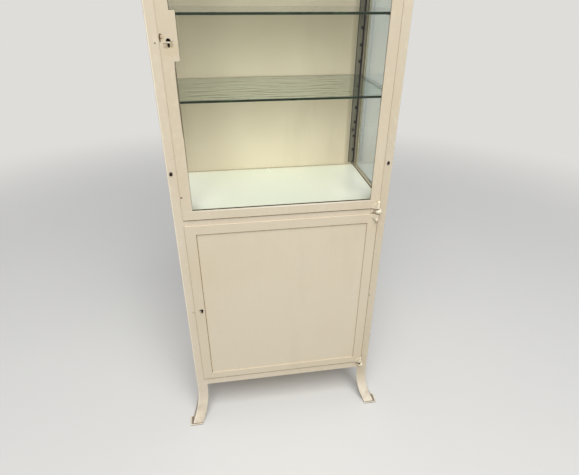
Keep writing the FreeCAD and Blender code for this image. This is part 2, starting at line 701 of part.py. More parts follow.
def make_hinges():
    """Three lugs and their pins. A collar under each door carries its weight."""
    half = BALL_HEIGHT / 2
    save("top_hinge_lug", hinge_lug(TOP_BALL_Z))
    save("middle_hinge_lug", hinge_lug(MIDDLE_BALL_Z))
    save("bottom_hinge_lug", hinge_lug(BOTTOM_BALL_Z))

    upper_low, upper_high = UPPER_DOOR_Z
    lower_low, lower_high = LOWER_DOOR_Z
    top = post_along_z(PIN_RADIUS, HINGE_X, HINGE_Y, (upper_high - PIN_REACH, TOP_BALL_Z + half))
    middle = post_along_z(PIN_RADIUS, HINGE_X, HINGE_Y,
                          (lower_high - PIN_REACH, upper_low + PIN_REACH))
    middle_collar = post_along_z(COLLAR_RADIUS, HINGE_X, HINGE_Y,
                                 (MIDDLE_BALL_Z + half, upper_low - COLLAR_GAP))
    bottom = post_along_z(PIN_RADIUS, HINGE_X, HINGE_Y,
                          (BOTTOM_BALL_Z - half, lower_low + PIN_REACH))
    bottom_collar = post_along_z(COLLAR_RADIUS, HINGE_X, HINGE_Y,
                                 (BOTTOM_BALL_Z + half, lower_low - COLLAR_GAP))
    save("hinge_pins", top, joined(middle, middle_collar), joined(bottom, bottom_collar))


def keeper(rivet_inset, seat, key_z):
    """Bracket behind the left post that a bolt slides into, drilled for its rivet."""
    z = (key_z - BOLT_DROP - KEEPER_HALF, key_z - BOLT_DROP + KEEPER_HALF)
    back = BOLT_Y[1] + KEEPER_GAP
    web_inset = (rivet_inset + KEEPER_FOOT_HALF - KEEPER_THICK, rivet_inset + KEEPER_FOOT_HALF)
    foot = side_block((rivet_inset - KEEPER_FOOT_HALF, web_inset[1]),
                      (seat, seat + KEEPER_THICK), (z[0], key_z + KEEPER_FOOT_RISE), -1)
    web = side_block(web_inset, (seat, back + KEEPER_THICK), z, -1)
    tongue = side_block((web_inset[0], KEEPER_TIP_INSET), (back, back + KEEPER_THICK), z, -1)
    hole = rod_along_y(RIVET_RADIUS, rivet_inset - HALF_WIDTH, key_z,
                       (seat - PAST, seat + KEEPER_THICK + PAST))
    return joined(foot, web, tongue).cut(hole)


def keeper_rivet(rivet_inset, seat, key_z, head):
    """Rivet through the post: a low head in front, a flat tail behind."""
    radius, rise = head
    x = rivet_inset - HALF_WIDTH
    shank = rod_along_y(RIVET_RADIUS, x, key_z, (0, seat + KEEPER_THICK))
    cap = rod_along_y(radius, x, key_z, (-rise, 0))
    rim = [edge for edge in cap.Edges if edge.BoundBox.YMax < from_front(-rise) + TINY]
    cap = cap.makeFillet(rise * RIVET_ROUND, rim)
    return joined(cap, shank)


def make_keepers():
    """One keeper and rivet behind the left post for each lock."""
    upper_seat = STEEL + STRIP_THICK
    save("lock_keepers",
         keeper(UPPER_RIVET_INSET, upper_seat, UPPER_KEY_Z),
         keeper(LOWER_RIVET_INSET, STEEL, LOWER_KEY_Z),
         keeper_rivet(UPPER_RIVET_INSET, upper_seat, UPPER_KEY_Z, UPPER_RIVET_HEAD),
         keeper_rivet(LOWER_RIVET_INSET, STEEL, LOWER_KEY_Z, LOWER_RIVET_HEAD))


os.makedirs("parts", exist_ok=True)
make_posts()
make_foot_pads()
make_rails()
make_sheets()
make_back_beads()
make_side_glass()
make_opal_plate()
make_strips()
make_strip_screws()
make_shelves()
make_upper_door()
make_lower_door()
make_hinges()
make_keepers()
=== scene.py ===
"""Looks of an old enamelled hospital cabinet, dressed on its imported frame.

A tall glazed case stands over a closed cupboard, on four legs that curve outwards. X runs
across the front, Y from front to back and Z up from the floor. Lengths are in metres.
"""

import logging
import math
from collections.abc import Callable, Iterable, Mapping, Sequence
from dataclasses import dataclass
from enum import Enum

import bmesh
import bpy
from mathutils import Matrix, Vector


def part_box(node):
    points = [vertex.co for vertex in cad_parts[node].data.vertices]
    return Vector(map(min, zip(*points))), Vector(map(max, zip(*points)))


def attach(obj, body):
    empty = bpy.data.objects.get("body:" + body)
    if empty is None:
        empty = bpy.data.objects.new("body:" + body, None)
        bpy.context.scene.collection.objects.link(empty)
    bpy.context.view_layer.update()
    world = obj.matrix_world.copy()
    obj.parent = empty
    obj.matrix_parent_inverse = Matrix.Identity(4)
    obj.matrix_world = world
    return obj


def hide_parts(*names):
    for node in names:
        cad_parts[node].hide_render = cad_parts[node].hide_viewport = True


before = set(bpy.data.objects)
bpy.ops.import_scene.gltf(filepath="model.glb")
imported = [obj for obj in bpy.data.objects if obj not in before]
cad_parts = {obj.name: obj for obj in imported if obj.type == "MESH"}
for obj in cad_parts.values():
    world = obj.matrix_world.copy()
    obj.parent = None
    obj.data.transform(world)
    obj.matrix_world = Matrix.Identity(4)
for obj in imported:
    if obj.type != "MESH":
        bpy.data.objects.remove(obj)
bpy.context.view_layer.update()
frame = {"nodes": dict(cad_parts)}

LOG = logging.getLogger("cabinet")

Colour = tuple[float, float, float, float]
Point = tuple[float, float, float]
Span = tuple[float, float]
Socket = bpy.types.NodeSocket
Material = bpy.types.Material
Mesh = bpy.types.Mesh

PICTURE_SIZE = (579, 475)
EDGE_LAYER = "edge"
EVEN: Point = (1.0, 1.0, 1.0)

# Sizes that several pieces and finishes share
HALF_WIDTH = 0.300
HALF_DEPTH = 0.163
ROD_INSET = 0.0165
FIRST_HOLE = 0.9393
HOLE_PITCH = 0.0469
UPPER_KEY: Span = (-0.2546, 1.2188)
LOWER_KEY: Span = (-0.2533, 0.4657)
SHELVES = ("lower", "middle", "top")

# Painted shade on the back panel: how far the painted shadow below a shelf hangs, and where each
# upright band of painted shade starts, where it ends and how strong it is
SHELF_SHADOW = 0.235
SIDE_SHADES = ((-0.05, -0.25, 0.25), (-0.23, -0.27, 0.15), (0.10, 0.25, 0.08), (0.25, 0.264, 0.5))

# Rounding of the hinge knuckles, and the shortest edge of theirs that is rounded
KNUCKLE_EDGE = 0.0003
KNUCKLE_LEAST = 0.05

# Turns of a fastener about X that point its head to the front or to the rear
TO_FRONT = math.pi / 2
TO_REAR = -math.pi / 2


class Tint(Enum):
    """Colours of the surfaces under plain white light, and colours painted on them to stand in
    for light and shade.
    """

    POST = (221, 208, 186)
    DOOR = (219, 206, 182)
    SHEET = (221, 209, 185)
    # Painted light: the back panel's paint is lighter than the other sheets, to brighten its
    # lower part.
    BACK = (249, 232, 207)
    AGED = (205, 186, 146)
    SHADE = (196, 182, 154)
    # Painted shade: the side glass beads are dark olive for the shade they stand in.
    SIDE_BEAD = (150, 146, 116)
    BRIGHT = (247, 238, 219)
    # Painted highlights on the ball lugs and the knuckle barrels, and painted light on the
    # knuckles' web feet against the shade of their lower faces.
    BALL = (232, 222, 199)
    KNUCKLE_HIGHLIGHT = (255, 244, 216)
    WEB_FOOT = (236, 225, 202)
    KNUCKLE = (219, 206, 180)
    DIRT = (146, 120, 76)
    SHADED_POST = (213, 200, 176)
    SOOT = (46, 40, 34)
    GRIME = (92, 76, 48)
    DARKENED = (158, 143, 112)
    PUTTY = (60, 52, 36)
    RUST = (112, 70, 40)
    CHIP = (84, 66, 42)
    FRESH_RUST = (176, 124, 72)
    DARK_RUST = (62, 38, 24)
    STEEL = (104, 98, 90)
    BROWN_STEEL = (74, 64, 54)
    STRIP = (130, 124, 106)
    STRIP_DARK = (100, 93, 76)
    SCREW = (52, 38, 32)
    NEAR_BLACK = (18, 15, 12)
    OPAL = (248, 246, 231)
    OPAL_COOL = (240, 243, 230)
    # Painted light at the sides of the milk glass plate, and painted shade towards its front.
    OPAL_SIDE = (255, 255, 243)
    OPAL_SHADE = (214, 219, 201)
    EDGE_GREEN = (10, 26, 4)
    EDGE_LIGHT = (26, 52, 18)
    ARRIS = (176, 204, 176)
    CLEAR = (254, 255, 254)
    SIDE_CLEAR = (214, 223, 218)
    SHELF_CLEAR = (229, 244, 241)
    SHELF_SHADE = (247, 250, 246)
    HAZE = (232, 230, 220)
    FLOOR = (222, 221, 218)
    # The floor as seen in reflections: a painted reflection, dimmer than the lit floor.
    DIM_FLOOR = (70, 70, 68)
    SKY = (244, 246, 250)

    @property
    def linear(self) -> Colour:
        """Scene linear colour with full opacity."""
        red, green, blue = (byte_to_linear(byte) for byte in self.value)
        return red, green, blue, 1.0


class Head(Enum):
    """Kinds of domed fastener heads."""

    SLOTTED = "slotted"
    PLAIN = "plain"


class Side(Enum):
    """The two sides of the cabinet, as signs of X."""

    LEFT = -1
    RIGHT = 1


class Axis(Enum):
    """Directions that a band of colour may grow along."""

    ACROSS = "x"
    UP = "z"


class Edge(Enum):
    """The edges of a door that dirt and painted shadow lie along."""

    BOTTOM = "bottom"
    LEFT = "left"
    RIGHT = "right"


def byte_to_linear(byte: float) -> float:
    """Linear value of one sRGB byte.

    Args:
        byte: Value from 0 to 255.

    Returns:
        The value from 0 to 1 in scene linear light.
    """
    share = byte / 255
    if share <= 0.04045:
        return share / 12.92
    return ((share + 0.055) / 1.055) ** 2.4


class Signal:
    """A number that varies over a surface. Arithmetic on it adds Math nodes."""

    def __init__(self, tree: "Tree", socket: Socket) -> None:
        """Wrap an output socket of a tree."""
        self.tree = tree
        self.socket = socket

    def _math(self, operation: str, *values: "Signal | float") -> "Signal":
        """Join values in one Math node.

        Args:
            operation: Name of the Math node's operation.
            values: The node's inputs, in order.

        Returns:
            The node's result.
        """
        sockets = dict(enumerate(values))
        made = self.tree.node("ShaderNodeMath", {"operation": operation}, sockets)
        return Signal(self.tree, made.outputs[0])

    def __add__(self, other: "Signal | float") -> "Signal":
        """Sum of two numbers."""
        return self._math("ADD", self, other)

    def __radd__(self, other: float) -> "Signal":
        """Sum with a plain number on the left."""
        return self._math("ADD", other, self)

    def __sub__(self, other: "Signal | float") -> "Signal":
        """Difference of two numbers."""
        return self._math("SUBTRACT", self, other)

    def __rsub__(self, other: float) -> "Signal":
        """Difference from a plain number on the left."""
        return self._math("SUBTRACT", other, self)

    def __mul__(self, other: "Signal | float") -> "Signal":
        """Product of two numbers."""
        return self._math("MULTIPLY", self, other)

    def __rmul__(self, other: float) -> "Signal":
        """Product with a plain number on the left."""
        return self._math("MULTIPLY", other, self)

    def __truediv__(self, other: "Signal | float") -> "Signal":
        """Quotient of two numbers."""
        return self._math("DIVIDE", self, other)

    def __abs__(self) -> "Signal":
        """Distance from zero."""
        return self._math("ABSOLUTE", self)

    def centred(self) -> "Signal":
        """The number less a half, so that a pattern from 0 to 1 swings about zero."""
        return self - 0.5

    def lower(self, other: "Signal | float") -> "Signal":
        """The smaller of two numbers."""
        return self._math("MINIMUM", self, other)

    def upper(self, other: "Signal | float") -> "Signal":
        """The larger of two numbers."""
        return self._math("MAXIMUM", self, other)

    def wrapped(self, period: float) -> "Signal":
        """The number's distance from the nearest whole multiple of a period."""
        return abs(self._math("PINGPONG", self, period / 2))

    def smooth(self, start: float, end: float) -> "Signal":
        """Soft step between two values.

        Args:
            start: Value where the result is 0.
            end: Value where the result is 1. It may be the lower of the two.

        Returns:
            A number from 0 to 1.
        """
        made = self.tree.node("ShaderNodeMapRange", {"interpolation_type": "SMOOTHSTEP"},
                              {"Value": self, "From Min": start, "From Max": end})
        return Signal(self.tree, made.outputs[0])


class Tree:
    """One node tree. All of its nodes come from the node method."""

    def __init__(self, nodes: bpy.types.NodeTree) -> None:
        """Start from an empty tree."""
        self.nodes = nodes
        self.nodes.nodes.clear()

    def node(self, kind: str, settings: Mapping[str, object] | None = None,
             sockets: Mapping[str | int, object] | None = None) -> bpy.types.Node:
        """Add one node.

        Args:
            kind: The node's type.
            settings: The node's own settings, which are set first.
            sockets: Values or links of its inputs, by name or number.

        Returns:
            The new node.
        """
        made = self.nodes.nodes.new(kind)
        for name, value in (settings or {}).items():
            setattr(made, name, value)
        for key, value in (sockets or {}).items():
            socket = made.inputs[key]
            if isinstance(value, Signal):
                value = value.socket
            if isinstance(value, Socket):
                self.nodes.links.new(value, socket)
            elif isinstance(value, Tint):
                socket.default_value = value.linear
            else:
                socket.default_value = value
        return made

    def rays(self, first: str, second: str) -> Signal:
        """1 for light rays of either kind, such as Camera or Shadow, and 0 for others."""
        path = self.node("ShaderNodeLightPath").outputs
        return Signal(self, path[f"Is {first} Ray"]).upper(Signal(self, path[f"Is {second} Ray"]))


class MaterialTree(Tree):
    """Node tree of a material, with the nodes that the finishes share."""

    def __init__(self, name: str) -> None:
        """Make a material with an empty tree.

        Args:
            name: Name of the material.
        """
        self.material = bpy.data.materials.new(name)
        self.material.use_nodes = True
        super().__init__(self.material.node_tree)
        coordinates = self.node("ShaderNodeTexCoord")
        self.place = coordinates.outputs["Object"]
        parts = self.node("ShaderNodeSeparateXYZ", {}, {"Vector": self.place})
        self.x = Signal(self, parts.outputs["X"])
        self.y = Signal(self, parts.outputs["Y"])
        self.z = Signal(self, parts.outputs["Z"])

    def noise(self, scale: float, detail: float = 2.0, stretch: Point = EVEN) -> Signal:
        """Cloudy pattern from 0 to 1.

        Args:
            scale: Features per metre.
            detail: Finer layers added to it.
            stretch: Factors on the three axes before the pattern is read.

        Returns:
            The pattern, which lies mostly between 0.3 and 0.7.
        """
        vector = self.place
        if stretch != EVEN:
            vector = self.node("ShaderNodeMapping", {}, {
                "Vector": self.place, "Scale": stretch}).outputs[0]
        made = self.node("ShaderNodeTexNoise", {"noise_dimensions": "3D"}, {
            "Vector": vector, "Scale": scale, "Detail": detail})
        return Signal(self, made.outputs[0])

    def attribute(self, name: str) -> Signal:
        """Value that a piece's own mesh stores."""
        made = self.node("ShaderNodeAttribute", {"attribute_name": name})
        return Signal(self, made.outputs["Fac"])

    def mix(self, share: Signal | float, first: object, second: object,
            blend: str = "MIX") -> Socket:
        """Mix two colours.

        Args:
            share: How much of the second colour there is, from 0 to 1.
            first: A Tint, a colour or a colour socket.
            second: Another one.
            blend: Name of the way of mixing.

        Returns:
            The mixed colour.
        """
        settings = {"data_type": "RGBA", "blend_type": blend, "clamp_factor": True}
        made = self.node("ShaderNodeMix", settings, {0: share, 6: first, 7: second})
        return made.outputs[2]

    def bump(self, height: Signal, depth: float, strength: float = 1.0) -> Socket:
        """Relief of a surface.

        Args:
            height: Height pattern from 0 to 1.
            depth: Distance in metres between its lowest and highest level.
            strength: Share of the relief that is felt.

        Returns:
            The normal for a shader.
        """
        made = self.node("ShaderNodeBump", {}, {
            "Strength": strength, "Distance": depth, "Height": height})
        return made.outputs[0]

    def principled(self, **sockets: object) -> bpy.types.Node:
        """Main surface shader, with underscores for the spaces in its inputs' names."""
        named = {name.replace("_", " "): value for name, value in sockets.items()}
        return self.node("ShaderNodeBsdfPrincipled", {}, named)

    def output(self, shader: Socket) -> Material:
        """Finish the material with its surface shader."""
        self.node("ShaderNodeOutputMaterial", {}, {"Surface": shader})
        return self.material


@dataclass(frozen=True)
class Cloud:
    """A cloudy pattern, and the range of its values over which a layer grows to its full."""

    scale: float
    detail: float = 2.0
    start: float = 0.0
    full: float = 1.0
    stretch: Point = EVEN

    def pattern(self, tree: MaterialTree) -> Signal:
        """The pattern itself."""
        return tree.noise(self.scale, self.detail, self.stretch)

    def share(self, pattern: Signal) -> Signal:
        """How much of the layer there is at a value of the pattern."""
        return pattern.smooth(self.start, self.full)

    def cover(self, tree: MaterialTree) -> Signal:
        """How much of the layer there is all over a surface."""
        return self.share(self.pattern(tree))


@dataclass(frozen=True)
class Mark:
    """An uneven spot on a front face, such as a chip, a stain, a scuffed streak, a painted
    highlight or a painted shadow.
    """

    x: float
    z: float
    half_width: float
    half_height: float
    tint: Tint
    strength: float = 1.0
    ragged: float = 0.8
    grain: float = 420.0

    FRONT = (-0.155, -0.160)
    RIM = (1.25, 0.75)
    SWING = 4.0

    def cover(self, tree: MaterialTree) -> Signal:
        """Share of the surface that the mark hides.

        Args:
            tree: Tree of the finish that carries the mark.

        Returns:
            A number from 0 to 1.
        """
        across = (tree.x - self.x) / self.half_width
        along = (tree.z - self.z) / self.half_height
        reach = across * across + along * along
        edge = tree.noise(self.grain).centred() * (self.SWING * self.ragged)
        front = tree.y.smooth(*self.FRONT)
        return (reach + edge).smooth(*self.RIM) * front * self.strength


def front_share(tree: MaterialTree, middle: float) -> Signal:
    """1 on the front face of a sheet and 0 on its rear face.

    Args:
        tree: Tree of the sheet's finish.
        middle: Middle of the sheet along Y.

    Returns:
        A number from 0 to 1.
    """
    step = 0.0002
    return tree.y.smooth(middle, middle - step)


@dataclass(frozen=True)
class Veil:
    """Band of colour that grows along one axis and ends just past its strongest place."""

    axis: Axis
    clear: float
    thick: float
    strength: float
    fade: float = 0.004
    middle: float | None = None
    tint: Tint = Tint.DARKENED

    def cover(self, tree: MaterialTree) -> Signal:
        """Share of the surface that the film hides.

        Args:
            tree: Tree of the finish that carries the film.

        Returns:
            A number from 0 to 1.
        """
        place = getattr(tree, self.axis.value)
        past = math.copysign(self.fade, self.thick - self.clear)
        grown = place.smooth(self.clear, self.thick)
        cover = grown * place.smooth(self.thick + past, self.thick) * self.strength
        return cover if self.middle is None else cover * front_share(tree, self.middle)


@dataclass(frozen=True)
class HoleRow:
    """Dark round spots at an even pitch, in one upright row on each side of the cabinet."""

    radius: float
    middle: float | None = None
    inset: float = HALF_WIDTH - ROD_INSET
    first: float = FIRST_HOLE
    pitch: float = HOLE_PITCH

    RIM = (1.5, 0.8)
    SWING = 0.5

    def cover(self, tree: MaterialTree, ragged: Signal) -> Signal:
        """Share of the surface that the spots hide.

        Args:
            tree: Tree of the finish that carries the spots.
            ragged: Noise from 0 to 1 that frays their rims.

        Returns:
            A number from 0 to 1.
        """
        across = abs(abs(tree.x) - self.inset)
        along = (tree.z - self.first).wrapped(self.pitch)
        reach = (across * across + along * along) / (self.radius * self.radius)
        cover = (reach + ragged.centred() * self.SWING).smooth(*self.RIM)
        return cover if self.middle is None else cover * front_share(tree, self.middle)


@dataclass(frozen=True)
class FootPlate:
    """Top of the foot pads: chipped through in the middle, with a painted highlight along the top
    rim.
    """

    aside: float
    ahead: float
    half_width: float
    half_depth: float
    dimmed: float = 0.65
    painted_light: float = 0.6

    RIM = (0.0028, 0.0044)
    TOP = (0.0032, 0.0038)
    SWING = 0.003

    def inset(self, tree: MaterialTree) -> Signal:
        """Distance in metres from the nearest edge of the pad."""
        across = self.half_width - abs(abs(tree.x) - self.aside)
        return across.lower(self.half_depth - abs(abs(tree.y) - self.ahead))

    def lay(self, tree: MaterialTree, colour: Socket, ragged: Signal) -> Socket:
        """Mark the pad's top with its bare middle and a painted highlight along its rim.

        Args:
            tree: Tree of the pads' finish.
            colour: Colour of the paint.
            ragged: Noise from 0 to 1 that frays the worn patch.

        Returns:
            The colour with the wear on it.
        """
        inner = (self.inset(tree) + ragged.centred() * self.SWING).smooth(*self.RIM)
        border = (1.0 - inner) * tree.z.smooth(*self.TOP)
        # Painted highlight along the pad's top rim.
        colour = tree.mix(border * self.painted_light, colour, Tint.BRIGHT)
        return tree.mix(inner * self.dimmed, colour, Tint.CHIP)


@dataclass(frozen=True)
class RustyRim:
    """Rust that eats into the edges of the foot pads, and a darker band along their sides."""

    strength: float
    bite: float = 0.24
    side_strength: float = 0.7

    BITTEN = Cloud(scale=150.0, detail=4.0)
    BITE_END = 0.62
    SPREAD = Cloud(scale=90.0, detail=4.0, start=0.60, full=0.74)
    SIDE = (0.0032, 0.0020)
    SWING = 0.004

    def lay(self, tree: MaterialTree, colour: Socket, edge: Signal, ragged: Signal) -> Socket:
        """Rust the pads.

        Args:
            tree: Tree of the pads' finish.
            colour: Colour of the paint.
            edge: 1 on the rounded edges and 0 elsewhere.
            ragged: Noise from 0 to 1 that frays the rust on the sides.

        Returns:
            The colour with the rust on it.
        """
        bitten = self.BITTEN.pattern(tree).smooth(self.BITE_END - self.bite * self.strength,
                                                  self.BITE_END)
        colour = tree.mix(edge * bitten, colour, Tint.RUST)
        colour = tree.mix(self.SPREAD.cover(tree) * self.strength, colour, Tint.DARK_RUST)
        # Darker along the pads' sides.
        side = (tree.z + ragged.centred() * self.SWING).smooth(*self.SIDE)
        return tree.mix(side * self.side_strength, colour, Tint.DARK_RUST)


@dataclass(frozen=True)
class Enamel:
    """Old brushed enamel on steel: clouded colour, fine grain, a painted highlight on the rounded
    edges, and chips.
    """

    name: str
    paint: Tint
    aging: float = 0.35
    chips: float = 0.5
    foot_dirt: float = 0.0
    gloss: float = 0.36
    edge_highlight: float = 0.75
    grain: float = 0.16
    specks: float = 0.75
    veils: tuple[Veil, ...] = ()
    marks: tuple[Mark, ...] = ()
    holes: HoleRow | None = None
    plate: FootPlate | None = None
    rim: RustyRim | None = None

    AGED = Cloud(scale=3.1, detail=3.0, start=0.38, full=0.78)
    STREAKS = Cloud(scale=16.0, detail=3.0, start=0.52, full=0.78, stretch=(1.0, 1.0, 0.22))
    STREAK = 0.14
    GRAIN = Cloud(scale=85.0, detail=3.0, start=0.5, full=0.75, stretch=(1.0, 1.0, 0.6))
    SPECK = Cloud(scale=560.0, detail=0.0, start=0.80, full=0.84)
    SPECKED = Cloud(scale=23.0, start=0.45, full=0.6)
    PATCH = Cloud(scale=60.0, detail=4.0, full=0.70, stretch=(1.0, 1.0, 0.5))
    CHIP_START = 0.66
    CHIP_SPREAD = 0.06
    SPLASHED = Cloud(scale=34.0, detail=4.0, start=0.35, full=0.7)
    SPLASH_HEIGHT = 0.11
    BRUSHED = Cloud(scale=240.0, stretch=(1.0, 1.0, 0.12))
    BRUSHED_SHARE = 0.6
    FINE = Cloud(scale=700.0, detail=1.0)
    FINE_SHARE = 0.4
    RELIEF = 0.00012
    GRAIN_ROUGH = 0.14
    CHIP_ROUGH = 0.3
    SHINE = {"Specular_IOR_Level": 0.45, "Coat_Weight": 0.12, "Coat_Roughness": 0.22}

    def coat(self, tree: MaterialTree, grain: Signal) -> Socket:
        """Colour of the sound paint.

        Args:
            tree: Tree of the finish.
            grain: Pattern of the paint's fine grain.

        Returns:
            The colour.
        """
        colour = tree.mix(self.AGED.cover(tree) * self.aging, self.paint, Tint.AGED)
        colour = tree.mix(self.STREAKS.cover(tree) * self.STREAK, colour, Tint.SHADE)
        colour = tree.mix(self.GRAIN.share(grain) * self.grain, colour, Tint.BRIGHT)
        speck = self.SPECK.cover(tree) * self.SPECKED.cover(tree)
        colour = tree.mix(speck * self.specks, colour, Tint.GRIME)
        for veil in self.veils:
            colour = tree.mix(veil.cover(tree), colour, veil.tint)
        return colour

    def material(self) -> Material:
        """Build the finish.

        Returns:
            The new material.
        """
        tree = MaterialTree(self.name)
        grain = self.GRAIN.pattern(tree)
        edge = tree.attribute(EDGE_LAYER)
        patch = self.PATCH.pattern(tree)
        # Painted highlight on the rounded edges.
        colour = tree.mix(edge * self.edge_highlight, self.coat(tree, grain), Tint.BRIGHT)
        chip = edge * patch.smooth(self.CHIP_START - self.CHIP_SPREAD * self.chips,
                                   self.PATCH.full)
        colour = tree.mix(chip * self.chips, colour, Tint.RUST)
        if self.rim is not None:
            colour = self.rim.lay(tree, colour, edge, patch)
        if self.foot_dirt > 0:
            low = tree.z.smooth(self.SPLASH_HEIGHT, 0.0) * self.SPLASHED.cover(tree)
            colour = tree.mix(low * self.foot_dirt, colour, Tint.RUST)
        if self.plate is not None:
            colour = self.plate.lay(tree, colour, patch)
        if self.holes is not None:
            colour = tree.mix(self.holes.cover(tree, patch), colour, Tint.NEAR_BLACK)
        for mark in self.marks:
            colour = tree.mix(mark.cover(tree), colour, mark.tint)

        brushed = self.BRUSHED.pattern(tree) * self.BRUSHED_SHARE
        fine = self.FINE.pattern(tree) * self.FINE_SHARE
        rough = self.gloss + grain.centred() * self.GRAIN_ROUGH + chip * self.CHIP_ROUGH
        shader = tree.principled(Base_Color=colour, Roughness=rough,
                                 Normal=tree.bump(brushed + fine, self.RELIEF), **self.SHINE)
        return tree.output(shader.outputs[0])


@dataclass(frozen=True)
class PaintedLightEnamel:
    """Enamel of a hinge part, with painted light: its colour shifts from where it lies flat to
    where it stands forward.
    """

    name: str
    paint: Tint
    painted_light: Tint
    flat: float
    crest: float
    marks: tuple[Mark, ...] = ()

    CLOUD = Cloud(scale=40.0, detail=3.0, start=0.5, full=0.8)
    SHADED = 0.3
    SMOOTHNESS = 0.26
    UNEVENNESS = 0.1
    RELIEF = 0.0001
    SHINE = {"Coat_Weight": 0.2, "Coat_Roughness": 0.15}

    def material(self) -> Material:
        """Build the finish.

        Returns:
            The new material.
        """
        tree = MaterialTree(self.name)
        cloud = self.CLOUD.pattern(tree)
        # Painted light: the colour shifts by how far the part stands forward.
        ahead = tree.y.smooth(self.flat, self.crest)
        colour = tree.mix(ahead, self.paint, self.painted_light)
        colour = tree.mix(self.CLOUD.share(cloud) * self.SHADED, colour, Tint.SHADE)
        for mark in self.marks:
            colour = tree.mix(mark.cover(tree), colour, mark.tint)
        rough = self.SMOOTHNESS + cloud.centred() * self.UNEVENNESS
        shader = tree.principled(Base_Color=colour, Roughness=rough,
                                 Normal=tree.bump(cloud, self.RELIEF), **self.SHINE)
        return tree.output(shader.outputs[0])


@dataclass(frozen=True)
class DullSteel:
    """Bare steel, browned with age. Rims of punched holes may be darker, and the edges may carry
    painted shade.
    """

    name: str
    clean: Tint
    browned: Tint
    spread: float = 0.5
    metallic: float = 0.75
    roughness: float = 0.48
    holes: HoleRow | None = None
    dark_edges: Span | None = None
    gloss: float = 0.5

    CLOUD = Cloud(scale=26.0, detail=4.0, start=0.45, full=0.6, stretch=(1.0, 1.0, 0.35))
    BROWN_START = 0.62
    BROWN_SPREAD = 0.3
    BROWN_FULL = 0.72
    FINE = Cloud(scale=320.0, detail=3.0, start=0.6, full=0.72)
    RUSTED = 0.7
    EDGE_SWING = 0.0012
    EDGE_STEP = 0.0004
    FINE_ROUGH = 0.3
    RUST_ROUGH = 0.25
    RUST_DULL = 0.5
    RELIEF = 0.0002

    def border(self, tree: MaterialTree, inner: float, outer: float, fine: Signal) -> Signal:
        """Share of painted shade along the edges of strips that stand upright on both sides of
        the cabinet.

        Args:
            tree: Tree of the finish.
            inner: Distance of the strips' inner edges from the cabinet's middle.
            outer: Distance of their outer edges.
            fine: Noise from 0 to 1 that frays the border.

        Returns:
            A number from 0 to 1.
        """
        step = self.EDGE_STEP
        across = abs(tree.x) + fine.centred() * self.EDGE_SWING
        return across.smooth(outer - step, outer + step).upper(
            across.smooth(inner + step, inner - step))

    def material(self) -> Material:
        """Build the finish.

        Returns:
            The new material.
        """
        tree = MaterialTree(self.name)
        cloud = self.CLOUD.pattern(tree)
        fine = self.FINE.pattern(tree)
        browned = cloud.smooth(self.BROWN_START - self.BROWN_SPREAD * self.spread,
                               self.BROWN_FULL)
        colour = tree.mix(browned, self.clean, self.browned)
        rust = self.FINE.share(fine) * self.CLOUD.share(cloud)
        colour = tree.mix(rust * self.RUSTED, colour, Tint.RUST)
        if self.holes is not None:
            colour = tree.mix(self.holes.cover(tree, fine), colour, Tint.NEAR_BLACK)
        if self.dark_edges is not None:
            border = self.border(tree, *self.dark_edges, fine)
            colour = tree.mix(border, colour, Tint.NEAR_BLACK)
        rough = self.roughness + fine.centred() * self.FINE_ROUGH + rust * self.RUST_ROUGH
        shader = tree.principled(
            Base_Color=colour, Roughness=rough, Metallic=self.metallic - self.RUST_DULL * rust,
            Specular_IOR_Level=self.gloss, Normal=tree.bump(fine, self.RELIEF))
        return tree.output(shader.outputs[0])


@dataclass(frozen=True)
class Filler:
    """Matt stuff that fills a corner: old putty, grime, paint or rust."""

    name: str
    dark: Tint
    light: Tint
    lightness: float

    LUMPS = Cloud(scale=110.0, detail=4.0, full=0.75)
    LIGHT_START = 0.7
    LIGHT_SPREAD = 0.4
    FINE = Cloud(scale=620.0, detail=3.0)
    ROUGHNESS = 0.75
    UNEVENNESS = 0.3
    RELIEF = 0.0004
    SHINE = {"Specular_IOR_Level": 0.25}

    def material(self) -> Material:
        """Build the finish.

        Returns:
            The new material.
        """
        tree = MaterialTree(self.name)
        fine = self.FINE.pattern(tree)
        share = self.LUMPS.pattern(tree).smooth(
            self.LIGHT_START - self.LIGHT_SPREAD * self.lightness, self.LUMPS.full)
        colour = tree.mix(share, self.dark, self.light)
        rough = self.ROUGHNESS + fine.centred() * self.UNEVENNESS
        shader = tree.principled(Base_Color=colour, Roughness=rough,
                                 Normal=tree.bump(fine, self.RELIEF), **self.SHINE)
        return tree.output(shader.outputs[0])


@dataclass(frozen=True)
class Glass:
    """Clear glass that lets lamps through to what stands behind it."""

    name: str
    tint: Tint
    passing: Tint = Tint.CLEAR
    ripple: float = 0.0
    waves: Cloud | None = None

    DUST = Cloud(scale=7.0, detail=4.0, start=0.5, full=0.8, stretch=(1.0, 1.0, 0.5))
    CLEAN_ROUGH = 0.015
    DUSTY_ROUGH = 0.03
    BODY = {"IOR": 1.5, "Transmission_Weight": 1.0}

    def material(self) -> Material:
        """Build the finish.

        Returns:
            The new material.
        """
        tree = MaterialTree(self.name)
        rough = self.CLEAN_ROUGH + self.DUST.cover(tree) * self.DUSTY_ROUGH
        sockets = {"Base_Color": self.tint, "Roughness": rough, **self.BODY}
        if self.waves is not None:
            sockets["Normal"] = tree.bump(self.waves.pattern(tree), self.ripple)
        solid = tree.principled(**sockets).outputs[0]
        through = tree.rays("Shadow", "Diffuse")
        clear = tree.node("ShaderNodeBsdfTransparent", {}, {
            "Color": self.passing}).outputs[0]
        both = tree.node("ShaderNodeMixShader", {}, {0: through, 1: solid, 2: clear})
        return tree.output(both.outputs[0])


